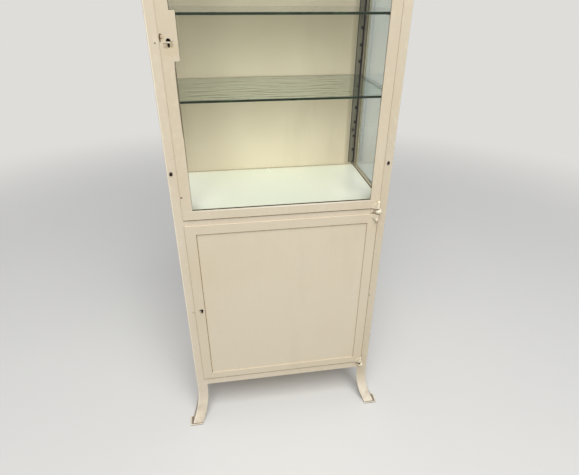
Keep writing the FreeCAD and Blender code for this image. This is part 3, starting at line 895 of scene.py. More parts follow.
@dataclass(frozen=True)
class CutEdge:
    """Sawn and ground edge of plate glass, painted dark green for the light inside the plate,
    with painted glints and a lighter arris.
    """

    name: str

    GLINTS = Cloud(scale=30.0, detail=4.0, start=0.5, full=0.72, stretch=(1.0, 1.0, 8.0))
    GROUND = Cloud(scale=40.0, start=0.35, full=0.55)
    GROUND_SHARE = 0.2
    ROUGHNESS = 0.5
    UNEVENNESS = 0.2
    RELIEF = 0.0003
    SHINE = {"Specular_IOR_Level": 0.1}

    def material(self) -> Material:
        """Build the finish.

        Returns:
            The new material.
        """
        tree = MaterialTree(self.name)
        glints = self.GLINTS.pattern(tree)
        colour = tree.mix(self.GLINTS.share(glints), Tint.EDGE_GREEN, Tint.EDGE_LIGHT)
        # The arris is lighter: partly the frosting of the grinding, partly a painted highlight.
        ground = tree.attribute(EDGE_LAYER) * self.GROUND.cover(tree) * self.GROUND_SHARE
        colour = tree.mix(ground, colour, Tint.ARRIS)
        rough = self.ROUGHNESS + glints.centred() * self.UNEVENNESS
        shader = tree.principled(Base_Color=colour, Roughness=rough,
                                 Normal=tree.bump(glints, self.RELIEF), **self.SHINE)
        return tree.output(shader.outputs[0])


@dataclass(frozen=True)
class OpalGlass:
    """White milk glass with a cool cast, painted light at the sides, painted shade towards the
    front, and grimy at the other edges.
    """

    name: str
    half_width: float
    rear: float
    front: float

    CLOUD = Cloud(scale=4.5, detail=3.0, start=0.35, full=0.7)
    RAGGED = Cloud(scale=95.0, detail=4.0)
    BESIDE = (0.40, 0.92)
    FRONT_SHADE = 0.75
    AHEAD = (0.075, 0.020)
    REAR_CLEAR = 0.0030
    SOILED = (0.0055, 0.0015)
    SOILED_SWING = 0.010
    SOILED_SHARE = 0.9
    HALO = (0.030, 0.0)
    HALO_SWING = 0.03
    HALO_SHARE = 0.20
    SCRATCHED = Cloud(scale=50.0, detail=3.0, start=0.62, full=0.8, stretch=(1.0, 0.25, 1.0))
    ROUGHNESS = 0.20
    SCRATCH_ROUGH = 0.12
    SOIL_ROUGH = 0.5
    SHINE = {"Coat_Weight": 0.25, "Coat_Roughness": 0.08}

    def shaded(self, tree: MaterialTree) -> Socket:
        """Colour of the clean plate, with painted light at its sides and painted shade towards
        its front.

        Args:
            tree: Tree of the finish.

        Returns:
            The colour.
        """
        colour = tree.mix(self.CLOUD.cover(tree), Tint.OPAL, Tint.OPAL_COOL)
        # Painted shade towards the front, also at the front corners, and painted light at the
        # sides.
        dimmed = tree.y.smooth(self.rear, self.front)
        start, full = self.BESIDE
        beside = abs(tree.x).smooth(start * self.half_width, full * self.half_width)
        colour = tree.mix(beside, colour, Tint.OPAL_SIDE)
        colour = tree.mix(dimmed * (1.0 - beside) * self.FRONT_SHADE, colour, Tint.OPAL_SHADE)
        start, full = self.AHEAD
        ahead = tree.y.smooth(self.front + start, self.front + full)
        return tree.mix(ahead * beside, colour, Tint.OPAL_SHADE)

    def material(self) -> Material:
        """Build the finish.

        Returns:
            The new material.
        """
        tree = MaterialTree(self.name)
        colour = self.shaded(tree)
        ragged = self.RAGGED.pattern(tree).centred()
        side_gap = self.half_width - abs(tree.x)
        gap = side_gap.lower(self.rear + self.REAR_CLEAR - tree.y)
        soiled = (gap + ragged * self.SOILED_SWING).smooth(*self.SOILED)
        halo = (gap + ragged * self.HALO_SWING).smooth(*self.HALO)
        colour = tree.mix(halo * self.HALO_SHARE, colour, Tint.AGED)
        colour = tree.mix(soiled * self.SOILED_SHARE, colour, Tint.GRIME)
        scratches = self.SCRATCHED.cover(tree) * self.SCRATCH_ROUGH
        shader = tree.principled(
            Base_Color=colour, Roughness=self.ROUGHNESS + scratches + soiled * self.SOIL_ROUGH,
            **self.SHINE)
        return tree.output(shader.outputs[0])


class Palette:
    """All finishes, each made once."""

    post: Material
    rail: Material
    upper_door: Material
    lower_door: Material
    sheet: Material
    back: Material
    pad: Material
    pane: Material
    side_pane: Material
    shelf: Material
    shelf_edge: Material
    opal: Material
    strip: Material
    keeper: Material
    ball: Material
    knuckle: Material
    lock_plate: Material
    shaded_post: Material
    rod: Material
    screw: Material
    pin: Material
    lock: Material
    putty: Material
    grime: Material
    dirt: Material
    side_dirt: Material
    edge_paint: Material
    side_bead: Material
    rust: Material

    def __init__(self) -> None:
        """Make the materials."""
        self.make_post_finishes()
        self.make_hinge_finishes()
        self.make_door_finishes()
        self.make_sheet_finishes()
        self.make_glass_finishes()
        self.make_steel_finishes()
        self.make_fillings()

    def make_post_finishes(self) -> None:
        """Finishes of the posts, rails, keepers and foot pads."""
        # Darker towards the top.
        top_darkening = Veil(Axis.UP, clear=0.95, thick=1.30, strength=0.08, fade=1.0)
        lit_leg = Veil(Axis.UP, clear=0.115, thick=0.055, strength=0.5, fade=1.0,
                       tint=Tint.BRIGHT)
        self.post = Enamel("post_enamel", Tint.POST, aging=0.25, chips=0.15, foot_dirt=0.35,
                           veils=(top_darkening,), marks=(
            # Painted shadow under the lower keeper rivet.
            Mark(x=-0.2790, z=0.4608, half_width=0.0050, half_height=0.0014,
                 tint=Tint.GRIME, strength=0.5, ragged=0.3),
        )).material()
        self.shaded_post = Enamel("shaded_post_enamel", Tint.SHADED_POST, aging=0.25, chips=0.15,
                                  foot_dirt=0.35, edge_highlight=0.25, veils=(lit_leg,), marks=(
            Mark(x=0.2790, z=0.466, half_width=0.0012, half_height=0.004,
                 tint=Tint.GRIME, strength=0.8),
        )).material()
        self.keeper = Enamel("keeper_enamel", Tint.POST, aging=0.25, marks=(
            Mark(x=-0.2839, z=1.2188, half_width=0.0017, half_height=0.0017,
                 tint=Tint.GRIME, strength=0.9, ragged=0.2),
            # Painted shade round the lower keeper rivet.
            Mark(x=-0.2790, z=0.4650, half_width=0.0040, half_height=0.0030,
                 tint=Tint.SHADE, strength=0.8, ragged=0.5),
        )).material()
        self.rail = Enamel("rail_enamel", Tint.POST, aging=0.30).material()
        low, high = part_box("front_right_foot_pad")
        plate = FootPlate(aside=(low.x + high.x) / 2, ahead=-(low.y + high.y) / 2,
                          half_width=(high.x - low.x) / 2, half_depth=(high.y - low.y) / 2)
        self.pad = Enamel("pad_enamel", Tint.POST, aging=0.3, chips=0.8, foot_dirt=0.3,
                          plate=plate, rim=RustyRim(0.4)).material()

    def make_hinge_finishes(self) -> None:
        """Finishes of the ball lugs and the knuckles, with painted highlights on them and dirt
        with painted shade beside and under the balls.
        """
        # Lighter where the ball stands forward: a painted highlight.
        self.ball = PaintedLightEnamel("ball_enamel", Tint.POST, Tint.BALL, flat=-0.1662,
                                 crest=-0.1672, marks=(
            # Dirt with painted shade in the gaps beside and under the balls.
            Mark(x=0.2550, z=0.7705, half_width=0.0065, half_height=0.0080,
                 tint=Tint.AGED, strength=0.3, ragged=0.4),
            Mark(x=0.2605, z=0.7690, half_width=0.0036, half_height=0.0060,
                 tint=Tint.DIRT, strength=0.45, ragged=0.5),
            Mark(x=0.2590, z=0.7640, half_width=0.0046, half_height=0.0028,
                 tint=Tint.GRIME, strength=0.85, ragged=0.4),
            Mark(x=0.2590, z=0.1640, half_width=0.0050, half_height=0.0045,
                 tint=Tint.DIRT, strength=0.5, ragged=0.5),
            Mark(x=0.2665, z=0.1674, half_width=0.0065, half_height=0.0026,
                 tint=Tint.GRIME, strength=0.7, ragged=0.3),
            Mark(x=0.2700, z=0.1580, half_width=0.0090, half_height=0.0060,
                 tint=Tint.AGED, strength=0.4, ragged=0.4),
        )).material()
        # The knuckles' web feet get the lighter paint: painted light against the shade of their
        # lower faces.
        self.knuckle = PaintedLightEnamel("knuckle_enamel", Tint.WEB_FOOT, Tint.KNUCKLE, flat=-0.1666,
                                    crest=-0.1682, marks=(
            # Painted highlights on the knuckle barrels.
            Mark(x=0.2707, z=0.7930, half_width=0.0027, half_height=0.0135,
                 tint=Tint.KNUCKLE_HIGHLIGHT, strength=0.8, ragged=0.1),
            Mark(x=0.2695, z=0.7480, half_width=0.0026, half_height=0.0050,
                 tint=Tint.KNUCKLE_HIGHLIGHT, strength=0.7, ragged=0.1),
            Mark(x=0.2700, z=0.1860, half_width=0.0022, half_height=0.0065,
                 tint=Tint.KNUCKLE_HIGHLIGHT, strength=0.9, ragged=0.1),
            Mark(x=0.2695, z=0.7392, half_width=0.0036, half_height=0.0018,
                 tint=Tint.GRIME, strength=0.8, ragged=0.3),
        )).material()

    def make_door_finishes(self) -> None:
        """Finishes of both doors' frames and of the lock plate."""
        key_x, key_z = UPPER_KEY
        # Darker towards the top.
        top_darkening = Veil(Axis.UP, clear=0.95, thick=1.25, strength=0.15, fade=1.0)
        key_wear_and_shade = (
            Mark(x=key_x - 0.0065, z=key_z - 0.0014, half_width=0.0062, half_height=0.0010,
                 tint=Tint.SOOT, strength=0.75, ragged=0.4, grain=500.0),
            Mark(x=key_x + 0.0065, z=key_z + 0.0030, half_width=0.0050, half_height=0.0010,
                 tint=Tint.SOOT, strength=0.55, ragged=0.4, grain=500.0),
            # Near-black rims round the keyhole's eye and slot: dirt, with painted shade that
            # widens the dark of the hole.
            Mark(x=key_x, z=key_z + 0.0046, half_width=0.0050, half_height=0.0050,
                 tint=Tint.NEAR_BLACK, strength=0.9, ragged=0.15),
            Mark(x=key_x, z=key_z - 0.0042, half_width=0.0035, half_height=0.0058,
                 tint=Tint.NEAR_BLACK, strength=0.9, ragged=0.15),
            Mark(x=key_x + 0.0064, z=key_z - 0.0035, half_width=0.0034, half_height=0.0060,
                 tint=Tint.GRIME, strength=0.55, ragged=1.2, grain=330.0),
            Mark(x=key_x + 0.0040, z=key_z - 0.0120, half_width=0.0180, half_height=0.0160,
                 tint=Tint.AGED, strength=0.35, ragged=1.2, grain=150.0),
            Mark(x=key_x - 0.0060, z=key_z - 0.0070, half_width=0.0050, half_height=0.0040,
                 tint=Tint.GRIME, strength=0.35, ragged=1.2, grain=330.0),
        )
        chipped_corner = (
            Mark(x=-0.2672, z=1.2290, half_width=0.0046, half_height=0.0060,
                 tint=Tint.FRESH_RUST, strength=0.28, ragged=0.6, grain=300.0),
            Mark(x=-0.2720, z=1.2290, half_width=0.0018, half_height=0.0088,
                 tint=Tint.CHIP, strength=0.95, ragged=0.25, grain=230.0),
            Mark(x=-0.2700, z=1.2362, half_width=0.0034, half_height=0.0014,
                 tint=Tint.CHIP, strength=0.85, ragged=0.25, grain=230.0),
            Mark(x=-0.2700, z=1.2282, half_width=0.0030, half_height=0.0013,
                 tint=Tint.CHIP, strength=0.75, ragged=0.25, grain=230.0),
        )
        dark_spot = Mark(x=-0.2706, z=0.8480, half_width=0.0030, half_height=0.0024,
                         tint=Tint.SOOT, strength=0.8, ragged=0.3)
        # Painted highlight along the top edge of the glazed door's bottom rail.
        sill_highlight = Mark(x=0.0, z=0.8058, half_width=0.2600, half_height=0.0017,
                           tint=Tint.BRIGHT, strength=0.9, ragged=0.1)
        crept_putty = Mark(x=-0.2468, z=1.0900, half_width=0.0016, half_height=0.0850,
                           tint=Tint.GRIME, strength=0.75, ragged=0.1)
        self.upper_door = Enamel(
            "upper_door_enamel", Tint.DOOR, veils=(top_darkening,),
            marks=key_wear_and_shade + chipped_corner + (dark_spot, sill_highlight, crept_putty)).material()
        self.lock_plate = Enamel("lock_plate_enamel", Tint.DOOR, edge_highlight=0.4, veils=(top_darkening,),
                                 marks=key_wear_and_shade).material()
        key_x, key_z = LOWER_KEY
        self.lower_door = Enamel("lower_door_enamel", Tint.DOOR, aging=0.30, edge_highlight=0.1,
                                 grain=0.03, marks=(
            Mark(x=key_x, z=key_z, half_width=0.0060, half_height=0.0100,
                 tint=Tint.GRIME, strength=0.35, ragged=0.9, grain=260.0),
            Mark(x=key_x - 0.0052, z=key_z + 0.0032, half_width=0.0040, half_height=0.0020,
                 tint=Tint.SOOT, strength=0.85, ragged=0.4),
            Mark(x=0.2690, z=0.7370, half_width=0.0016, half_height=0.0022,
                 tint=Tint.SOOT, strength=0.8, ragged=0.3),
        )).material()

    def make_sheet_finishes(self) -> None:
        """Finishes of the sheets, and of the back panel with its painted shade."""
        self.sheet = Enamel("sheet_enamel", Tint.SHEET, aging=0.25, chips=0.2, grain=0.05,
                            specks=0.3).material()
        # Painted shade: the side glass beads in a dark olive for the shade they stand in.
        self.side_bead = Enamel("side_bead_enamel", Tint.SIDE_BEAD, aging=0.3).material()
        back_low, back_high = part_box("upper_back_panel")
        middle = (back_low.y + back_high.y) / 2
        levels = [back_high.z]
        for name in SHELVES:
            low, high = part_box(name + "_glass_shelf")
            levels.append((low.z + high.z) / 2)
        # Painted shadows below the top of the back and below each shelf, and bands of painted
        # shade towards the sides and beside the strips.
        shelf_shadows = tuple(Veil(Axis.UP, level - SHELF_SHADOW, level, strength=0.6, middle=middle)
                            for level in levels)
        side_shades = tuple(Veil(Axis.ACROSS, clear, thick, strength, fade=0.1, middle=middle)
                           for clear, thick, strength in SIDE_SHADES)
        # The near-black spots behind the strips' holes are painted shade seen through them.
        self.back = Enamel("back_enamel", Tint.BACK, aging=0.25, chips=0.2,
                           veils=side_shades + shelf_shadows,
                           holes=HoleRow(radius=0.0026, middle=middle)).material()

    def make_glass_finishes(self) -> None:
        """Finishes of the panes, the shelves and the milk glass plate."""
        self.pane = Glass("door_glass", Tint.CLEAR).material()
        self.side_pane = Glass("side_glass", Tint.SIDE_CLEAR).material()
        self.shelf = Glass("shelf_glass", Tint.SHELF_CLEAR, Tint.SHELF_SHADE, ripple=0.00045,
                           waves=Cloud(scale=24.0, stretch=(0.45, 2.4, 1.0))).material()
        self.shelf_edge = CutEdge("shelf_glass_edge").material()
        low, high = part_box("opal_glass_plate")
        self.opal = OpalGlass("opal_glass", half_width=high.x, rear=high.y,
                              front=low.y).material()

    def make_steel_finishes(self) -> None:
        """Finishes of the bare steel parts."""
        # The strips get near-black rims round their holes, partly rust and partly painted shade,
        # and a near-black band of painted shade along both edges.
        self.strip = DullSteel("strip_steel", Tint.STRIP, Tint.STRIP_DARK, metallic=0.0,
                               roughness=0.6, holes=HoleRow(radius=0.0045),
                               dark_edges=(0.2715, 0.2853), gloss=0.1).material()
        self.rod = DullSteel("rod_steel", Tint.STEEL, Tint.NEAR_BLACK, spread=0.9,
                             metallic=0.6).material()
        self.screw = DullSteel("screw_steel", Tint.SCREW, Tint.NEAR_BLACK, spread=0.7,
                               metallic=0.1, roughness=0.6).material()
        self.pin = DullSteel("pin_steel", Tint.STEEL, Tint.BROWN_STEEL, spread=0.3,
                             metallic=0.9).material()
        self.lock = DullSteel("lock_steel", Tint.BROWN_STEEL, Tint.NEAR_BLACK, spread=0.6,
                              metallic=0.5).material()

    def make_fillings(self) -> None:
        """Finishes of the putty, paint, dirt and rust in corners and gaps."""
        self.putty = Filler("old_putty", Tint.PUTTY, Tint.GRIME, 0.35).material()
        self.grime = Filler("corner_grime", Tint.GRIME, Tint.AGED, 0.45).material()
        # Dirt that also serves as painted shadow in the gaps round the doors and in the lower
        # door's recess.
        self.dirt = Filler("edge_dirt", Tint.DIRT, Tint.AGED, 0.35).material()
        self.side_dirt = Filler("side_dirt", Tint.GRIME, Tint.DIRT, 0.15).material()
        self.edge_paint = Filler("edge_paint", Tint.POST, Tint.BRIGHT, 0.5).material()
        self.rust = Filler("seam_rust", Tint.DARK_RUST, Tint.RUST, 0.5).material()


class GeometryTree(Tree):
    """A Geometry Nodes tree with named inputs, run once to make a plain mesh."""

    KINDS = {float: "NodeSocketFloat", int: "NodeSocketInt", tuple: "NodeSocketVector",
             Material: "NodeSocketMaterial"}

    def __init__(self, name: str, inputs: Mapping[str, type]) -> None:
        """Make the tree with a geometry input and output.

        Args:
            name: Name of the tree.
            inputs: Name and type of each further input.
        """
        group = bpy.data.node_groups.new(name, "GeometryNodeTree")
        super().__init__(group)
        group.interface.new_socket("Geometry", in_out="INPUT", socket_type="NodeSocketGeometry")
        for key, kind in inputs.items():
            group.interface.new_socket(key, in_out="INPUT", socket_type=self.KINDS[kind])
        group.interface.new_socket("Geometry", in_out="OUTPUT", socket_type="NodeSocketGeometry")
        self.group = group
        self.given = self.node("NodeGroupInput").outputs

    def number(self, name: str) -> Signal:
        """One of the tree's inputs, as a number to reckon with."""
        return Signal(self, self.given[name])

    def vector(self, x: Signal | float, y: Signal | float, z: Signal | float) -> Socket:
        """Vector of three numbers."""
        return self.node("ShaderNodeCombineXYZ", {}, {0: x, 1: y, 2: z}).outputs[0]

    def finish(self, geometry: Socket) -> None:
        """Realize the instances, give them their material and end the tree.

        Args:
            geometry: What the tree has made.
        """
        real = self.node("GeometryNodeRealizeInstances", {}, {0: geometry}).outputs[0]
        painted = self.node("GeometryNodeSetMaterial", {}, {
            "Geometry": real, "Material": self.given["Material"]}).outputs[0]
        self.node("NodeGroupOutput", {}, {0: painted})

    def grow(self, name: str, seed: Mesh, values: Mapping[str, object]) -> Mesh:
        """Run the tree on a mesh.

        Args:
            name: Name of the new mesh.
            seed: Points or edges that the tree starts from.
            values: Value of each named input.

        Returns:
            The finished mesh.
        """
        carrier = bpy.data.objects.new(name + "_carrier", seed)
        bpy.context.scene.collection.objects.link(carrier)
        modifier = carrier.modifiers.new("grow", "NODES")
        modifier.node_group = self.group
        for item in self.group.interface.items_tree:
            if item.in_out == "INPUT" and item.name in values:
                modifier[item.identifier] = values[item.name]
        carrier.update_tag()
        graph = bpy.context.evaluated_depsgraph_get()
        mesh = bpy.data.meshes.new_from_object(carrier.evaluated_get(graph))
        mesh.name = name
        bpy.data.objects.remove(carrier)
        bpy.data.meshes.remove(seed)
        return mesh


class StudTree(GeometryTree):
    """Domed fastener heads on the points of a mesh, each turned the same way."""

    DOME = {"Segments": 40, "Rings": 24}
    BARREL_SIDES = 32
    SLACK = 1.2
    SLOT_LENGTH = 3.0

    def __init__(self, head: Head) -> None:
        """Build the tree.

        Args:
            head: Kind of head that it makes.
        """
        super().__init__(head.value + "_heads", {
            "Ball": float, "Radius": float, "Rise": float, "Sink": float, "Slot": float,
            "Rotation": tuple, "Material": Material})
        ball, rise = self.number("Ball"), self.number("Rise")
        sphere = self.node("GeometryNodeMeshUVSphere", {}, {
            **self.DOME, "Radius": ball}).outputs[0]
        sphere = self._moved(sphere, rise - ball)
        sink = self.number("Sink")
        barrel = self.node("GeometryNodeMeshCylinder", {}, {
            "Vertices": self.BARREL_SIDES, "Radius": self.number("Radius"),
            "Depth": (rise + sink) * self.SLACK}).outputs[0]
        barrel = self._moved(barrel, (rise + sink) * (self.SLACK / 2) - sink)
        dome = self.node("GeometryNodeMeshBoolean", {"operation": "INTERSECT"}, {
            1: sphere}).outputs[0]
        joiner = dome.node
        self.nodes.links.new(barrel, joiner.inputs[1])
        if head is Head.SLOTTED:
            slot = self.number("Slot")
            size = self.vector(self.number("Radius") * self.SLOT_LENGTH, slot, rise)
            bar = self.node("GeometryNodeMeshCube", {}, {"Size": size}).outputs[0]
            bar = self._moved(bar, rise)
            dome = self.node("GeometryNodeMeshBoolean", {"operation": "DIFFERENCE"}, {
                0: dome, 1: bar}).outputs[0]
        placed = self.node("GeometryNodeInstanceOnPoints", {}, {
            "Points": self.given["Geometry"], "Instance": dome,
            "Rotation": self.given["Rotation"]}).outputs[0]
        self.finish(placed)

    def _moved(self, shape: Socket, rise: Signal) -> Socket:
        """Raise a shape along the head's axis."""
        return self.node("GeometryNodeTransform", {}, {
            "Geometry": shape, "Translation": self.vector(0.0, 0.0, rise)}).outputs[0]


class StripTree(GeometryTree):
    """A perforated strip: a flat bar with a row of holes, and a return along one edge."""

    DRILL = {"Vertices": 16, "Depth": 0.02}

    def __init__(self) -> None:
        """Build the tree."""
        super().__init__("perforated_strip", {
            "Bar Size": tuple, "Bar Middle": tuple, "Lip Size": tuple, "Lip Middle": tuple,
            "First Hole": tuple, "Pitch": float, "Count": int, "Hole Radius": float,
            "Material": Material})
        bar = self._cube("Bar")
        line = self.node("GeometryNodeMeshLine", {}, {
            "Count": self.given["Count"], "Start Location": self.given["First Hole"],
            "Offset": self.vector(0.0, 0.0, self.number("Pitch"))}).outputs[0]
        drill = self.node("GeometryNodeMeshCylinder", {}, {
            **self.DRILL, "Radius": self.given["Hole Radius"]}).outputs[0]
        drills = self.node("GeometryNodeInstanceOnPoints", {}, {
            "Points": line, "Instance": drill,
            "Rotation": (TO_FRONT, 0.0, 0.0)}).outputs[0]
        drills = self.node("GeometryNodeRealizeInstances", {}, {0: drills}).outputs[0]
        drilled = self.node("GeometryNodeMeshBoolean", {"operation": "DIFFERENCE"}, {
            0: bar, 1: drills}).outputs[0]
        whole = self.node("GeometryNodeMeshBoolean", {"operation": "UNION"}, {
            1: drilled}).outputs[0]
        self.nodes.links.new(self._cube("Lip"), whole.node.inputs[1])
        self.finish(whole)

    def _cube(self, name: str) -> Socket:
        """Box from a pair of inputs that give its size and its middle."""
        box = self.node("GeometryNodeMeshCube", {}, {
            "Size": self.given[name + " Size"]}).outputs[0]
        return self.node("GeometryNodeTransform", {}, {
            "Geometry": box, "Translation": self.given[name + " Middle"]}).outputs[0]


class SeamTree(GeometryTree):
    """An uneven bead of putty, paint or grime that follows the edges of a mesh."""

    LUMPS = {"Scale": 45.0, "Detail": 3.0}
    SWING = 4.0
    THINNEST = 0.25
    SIDES = 7

    def __init__(self) -> None:
        """Build the tree."""
        super().__init__("seam", {
            "Radius": float, "Step": float, "Unevenness": float, "Seed": float,
            "Material": Material})
        curve = self.node("GeometryNodeMeshToCurve", {}, {0: self.given["Geometry"]}).outputs[0]
        curve = self.node("GeometryNodeResampleCurve", {"mode": "LENGTH"}, {
            "Curve": curve, "Length": self.given["Step"]}).outputs[0]
        noise = self.node("ShaderNodeTexNoise", {"noise_dimensions": "4D"}, {
            "W": self.given["Seed"], **self.LUMPS}).outputs[0]
        swell = Signal(self, noise).centred() * self.number("Unevenness") * self.SWING + 1.0
        curve = self.node("GeometryNodeSetCurveRadius", {}, {
            "Curve": curve, "Radius": swell.upper(self.THINNEST)}).outputs[0]
        ring = self.node("GeometryNodeCurvePrimitiveCircle", {}, {
            "Resolution": self.SIDES, "Radius": self.given["Radius"]}).outputs[0]
        bead = self.node("GeometryNodeCurveToMesh", {}, {
            "Curve": curve, "Profile Curve": ring, "Fill Caps": True}).outputs[0]
        self.finish(bead)


class Bench:
    """Helpers that turn meshes into finished pieces on their bodies."""

    SMOOTH_ANGLE = math.radians(35)
    FLAT_ANGLE = math.radians(0.5)
    SHARP_ANGLE = math.radians(50)
    WELD = 1e-6
    ROUNDING_STEPS = 2
    BEAD_STEP = 0.006

    def __init__(self, palette: Palette) -> None:
        """Keep the finishes and make the shared Geometry Nodes trees.

        Args:
            palette: The finishes.
        """
        self.palette = palette
        self.nodes = frame["nodes"]
        self.slotted = StudTree(Head.SLOTTED)
        self.plain = StudTree(Head.PLAIN)
        self.strips = StripTree()
        self.seams = SeamTree()

    def piece(self, name: str, mesh: Mesh, body: str, slot: str,
              material: Material | None = None,
              replaces: Sequence[str] = ()) -> bpy.types.Object:
        """Make an object of a mesh, finish it and put it on its body.

        Args:
            name: The piece's name.
            mesh: Its mesh, in place.
            body: The body it moves with.
            slot: Not used.
            material: Its finish, if its mesh has none yet.
            replaces: Nodes of the frame that it stands for.

        Returns:
            The new object.
        """
        mesh.name = name
        made = bpy.data.objects.new(name, mesh)
        bpy.context.scene.collection.objects.link(made)
        if material is not None:
            mesh.materials.clear()
            mesh.materials.append(material)
        shade_by_area(mesh, self.SMOOTH_ANGLE)
        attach(made, body)
        if replaces:
            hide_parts(*replaces)
        LOG.info("%s: %d faces on %s", name, len(mesh.polygons), body)
        return made

    def paint(self, node: str, material: Material) -> None:
        """Give a node of the frame its finish.

        Args:
            node: The node.
            material: Its finish.
        """
        made = self.nodes[node]
        if not made.material_slots:
            made.data.materials.append(material)
        for place in made.material_slots:
            place.material = material
        LOG.info("%s: painted", node)

    def soft_edged(self, source: Mesh, radius: float, least: float) -> Mesh:
        """Copy of a mesh with its long sharp edges rounded and marked.

        Args:
            source: The mesh.
            radius: Width of the rounding.
            least: Shortest edge that is rounded.

        Returns:
            The new mesh, with a corner attribute that is 1 on the rounding.
        """
        made = bmesh.new()
        made.from_mesh(source)
        bmesh.ops.remove_doubles(made, verts=made.verts, dist=self.WELD)
        bmesh.ops.dissolve_limit(made, angle_limit=self.FLAT_ANGLE, verts=made.verts,
                                 edges=made.edges)
        sharp = [edge for edge in made.edges
                 if edge.is_manifold and edge.calc_length() > least
                 and edge.calc_face_angle(0.0) > self.SHARP_ANGLE]
        result = bmesh.ops.bevel(made, geom=sharp, offset=radius, offset_type="OFFSET",
                                 segments=self.ROUNDING_STEPS, profile=0.5, affect="EDGES",
                                 clamp_overlap=True)
        layer = made.loops.layers.float.new(EDGE_LAYER)
        for face in result["faces"]:
            for loop in face.loops:
                loop[layer] = 1.0
        mesh = bpy.data.meshes.new("soft_edged")
        made.to_mesh(mesh)
        made.free()
        return mesh

    def rolled(self, node: str, body: str, slot: str, material: Material,
               radius: float = 0.0006, least: float = 0.006) -> bpy.types.Object:
        """Stand in for a node with a copy that has soft edges.

        Args:
            node: The node.
            body: The body it moves with.
            slot: Passed on to piece, which does not use it.
            material: Its finish.
            radius: Width of the rounding.
            least: Shortest edge that is rounded.

        Returns:
            The new object.
        """
        mesh = self.soft_edged(self.nodes[node].data, radius, least)
        return self.piece(node + "_painted", mesh, body, slot, material, (node,))

    def points(self, places: Iterable[Point]) -> Mesh:
        """Loose points, for a tree to put things on.

        Args:
            places: The points.

        Returns:
            Their mesh.
        """
        mesh = bpy.data.meshes.new("points")
        mesh.from_pydata([tuple(place) for place in places], [], [])
        return mesh

    def path(self, places: Sequence[Point], closed: bool) -> Mesh:
        """Edges from point to point, for a tree to follow.

        Args:
            places: The points, in order.
            closed: True for a line that ends where it starts.

        Returns:
            Their mesh.
        """
        edges = [(index, index + 1) for index in range(len(places) - 1)]
        if closed:
            edges.append((len(places) - 1, 0))
        mesh = bpy.data.meshes.new("path")
        mesh.from_pydata([tuple(place) for place in places], edges, [])
        return mesh

    def seam(self, name: str, places: Sequence[Point], closed: bool, radius: float,
             material: Material, body: str, slot: str, seed: float,
             unevenness: float = 0.5) -> bpy.types.Object:
        """Lay an uneven bead along a line.

        Args:
            name: The piece's name.
            places: Points of the line.
            closed: True for a line that ends where it starts.
            radius: Mean radius of the bead.
            material: Its finish.
            body: The body it moves with.
            slot: Passed on to piece, which does not use it.
            seed: Number that its unevenness starts from.
            unevenness: Share of the radius that it swings by.

        Returns:
            The new object.
        """
        mesh = self.seams.grow(name, self.path(places, closed), {
            "Radius": radius, "Step": self.BEAD_STEP, "Unevenness": unevenness, "Seed": seed,
            "Material": material})
        return self.piece(name, mesh, body, slot)


def shade_by_area(mesh: Mesh, limit: float) -> None:
    """Shade a mesh smoothly over its roundings and leave its large faces flat.

    Args:
        mesh: The mesh, which gets a normal of its own at every corner.
        limit: Largest angle between faces that are shaded as one surface.
    """
    around: list[list[int]] = [[] for _ in mesh.vertices]
    for face in mesh.polygons:
        for vertex in face.vertices:
            around[vertex].append(face.index)
    least = math.cos(limit)
    faces = [(Vector(face.normal), face.area) for face in mesh.polygons]
    normals = []
    for face in mesh.polygons:
        own = faces[face.index][0]
        for vertex in face.vertices:
            total = Vector((0.0, 0.0, 0.0))
            for index in around[vertex]:
                normal, area = faces[index]
                if own.dot(normal) > least:
                    total += normal * area
            normals.append(total.normalized() if total.length > 0 else own)
    mesh.shade_smooth()
    mesh.normals_split_custom_set(normals)


def outline_prism(outline: Sequence[tuple[float, float]],
                  lift: Callable[[float, float, float], Point],
                  levels: Sequence[float]) -> Mesh:
    """Closed solid made of one outline at several levels.

    Args:
        outline: Points of the outline, in order.
        lift: Gives the place of an outline point at a level.
        levels: The levels, from one end to the other.

    Returns:
        The new mesh.
    """
    made = bmesh.new()
    rings = [[made.verts.new(lift(a, b, level)) for a, b in outline] for level in levels]
    made.faces.new(rings[0])
    made.faces.new(list(reversed(rings[-1])))
    count = len(outline)
    for low, high in zip(rings, rings[1:]):
        for index in range(count):
            after = (index + 1) % count
            made.faces.new((low[index], high[index], high[after], low[after]))
    bmesh.ops.recalc_face_normals(made, faces=made.faces)
    mesh = bpy.data.meshes.new("prism")
    made.to_mesh(mesh)
    made.free()
    return mesh


def arc(centre: tuple[float, float], radius: float, start: float, end: float,
        steps: int) -> list[tuple[float, float]]:
    """Points along an arc.

    Args:
        centre: Its centre.
        radius: Its radius.
        start: First angle in degrees.
        end: Last angle in degrees.
        steps: Number of parts that it is cut into.

    Returns:
        The points, with both ends.
    """
    points = []
    for step in range(steps + 1):
        angle = math.radians(start + (end - start) * step / steps)
        points.append((centre[0] + radius * math.cos(angle),
                       centre[1] + radius * math.sin(angle)))
    return points


# Where an eased edge is kinked, as a share of its width, the smallest radius of a plate's
# corner, the steps round one, and the signs and first angle of each of the four
EASE = 0.3
LEAST_CORNER = 0.0001
CORNER_STEPS = 5
QUARTERS = ((1, 1, 0), (-1, 1, 90), (-1, -1, 180), (1, -1, 270))


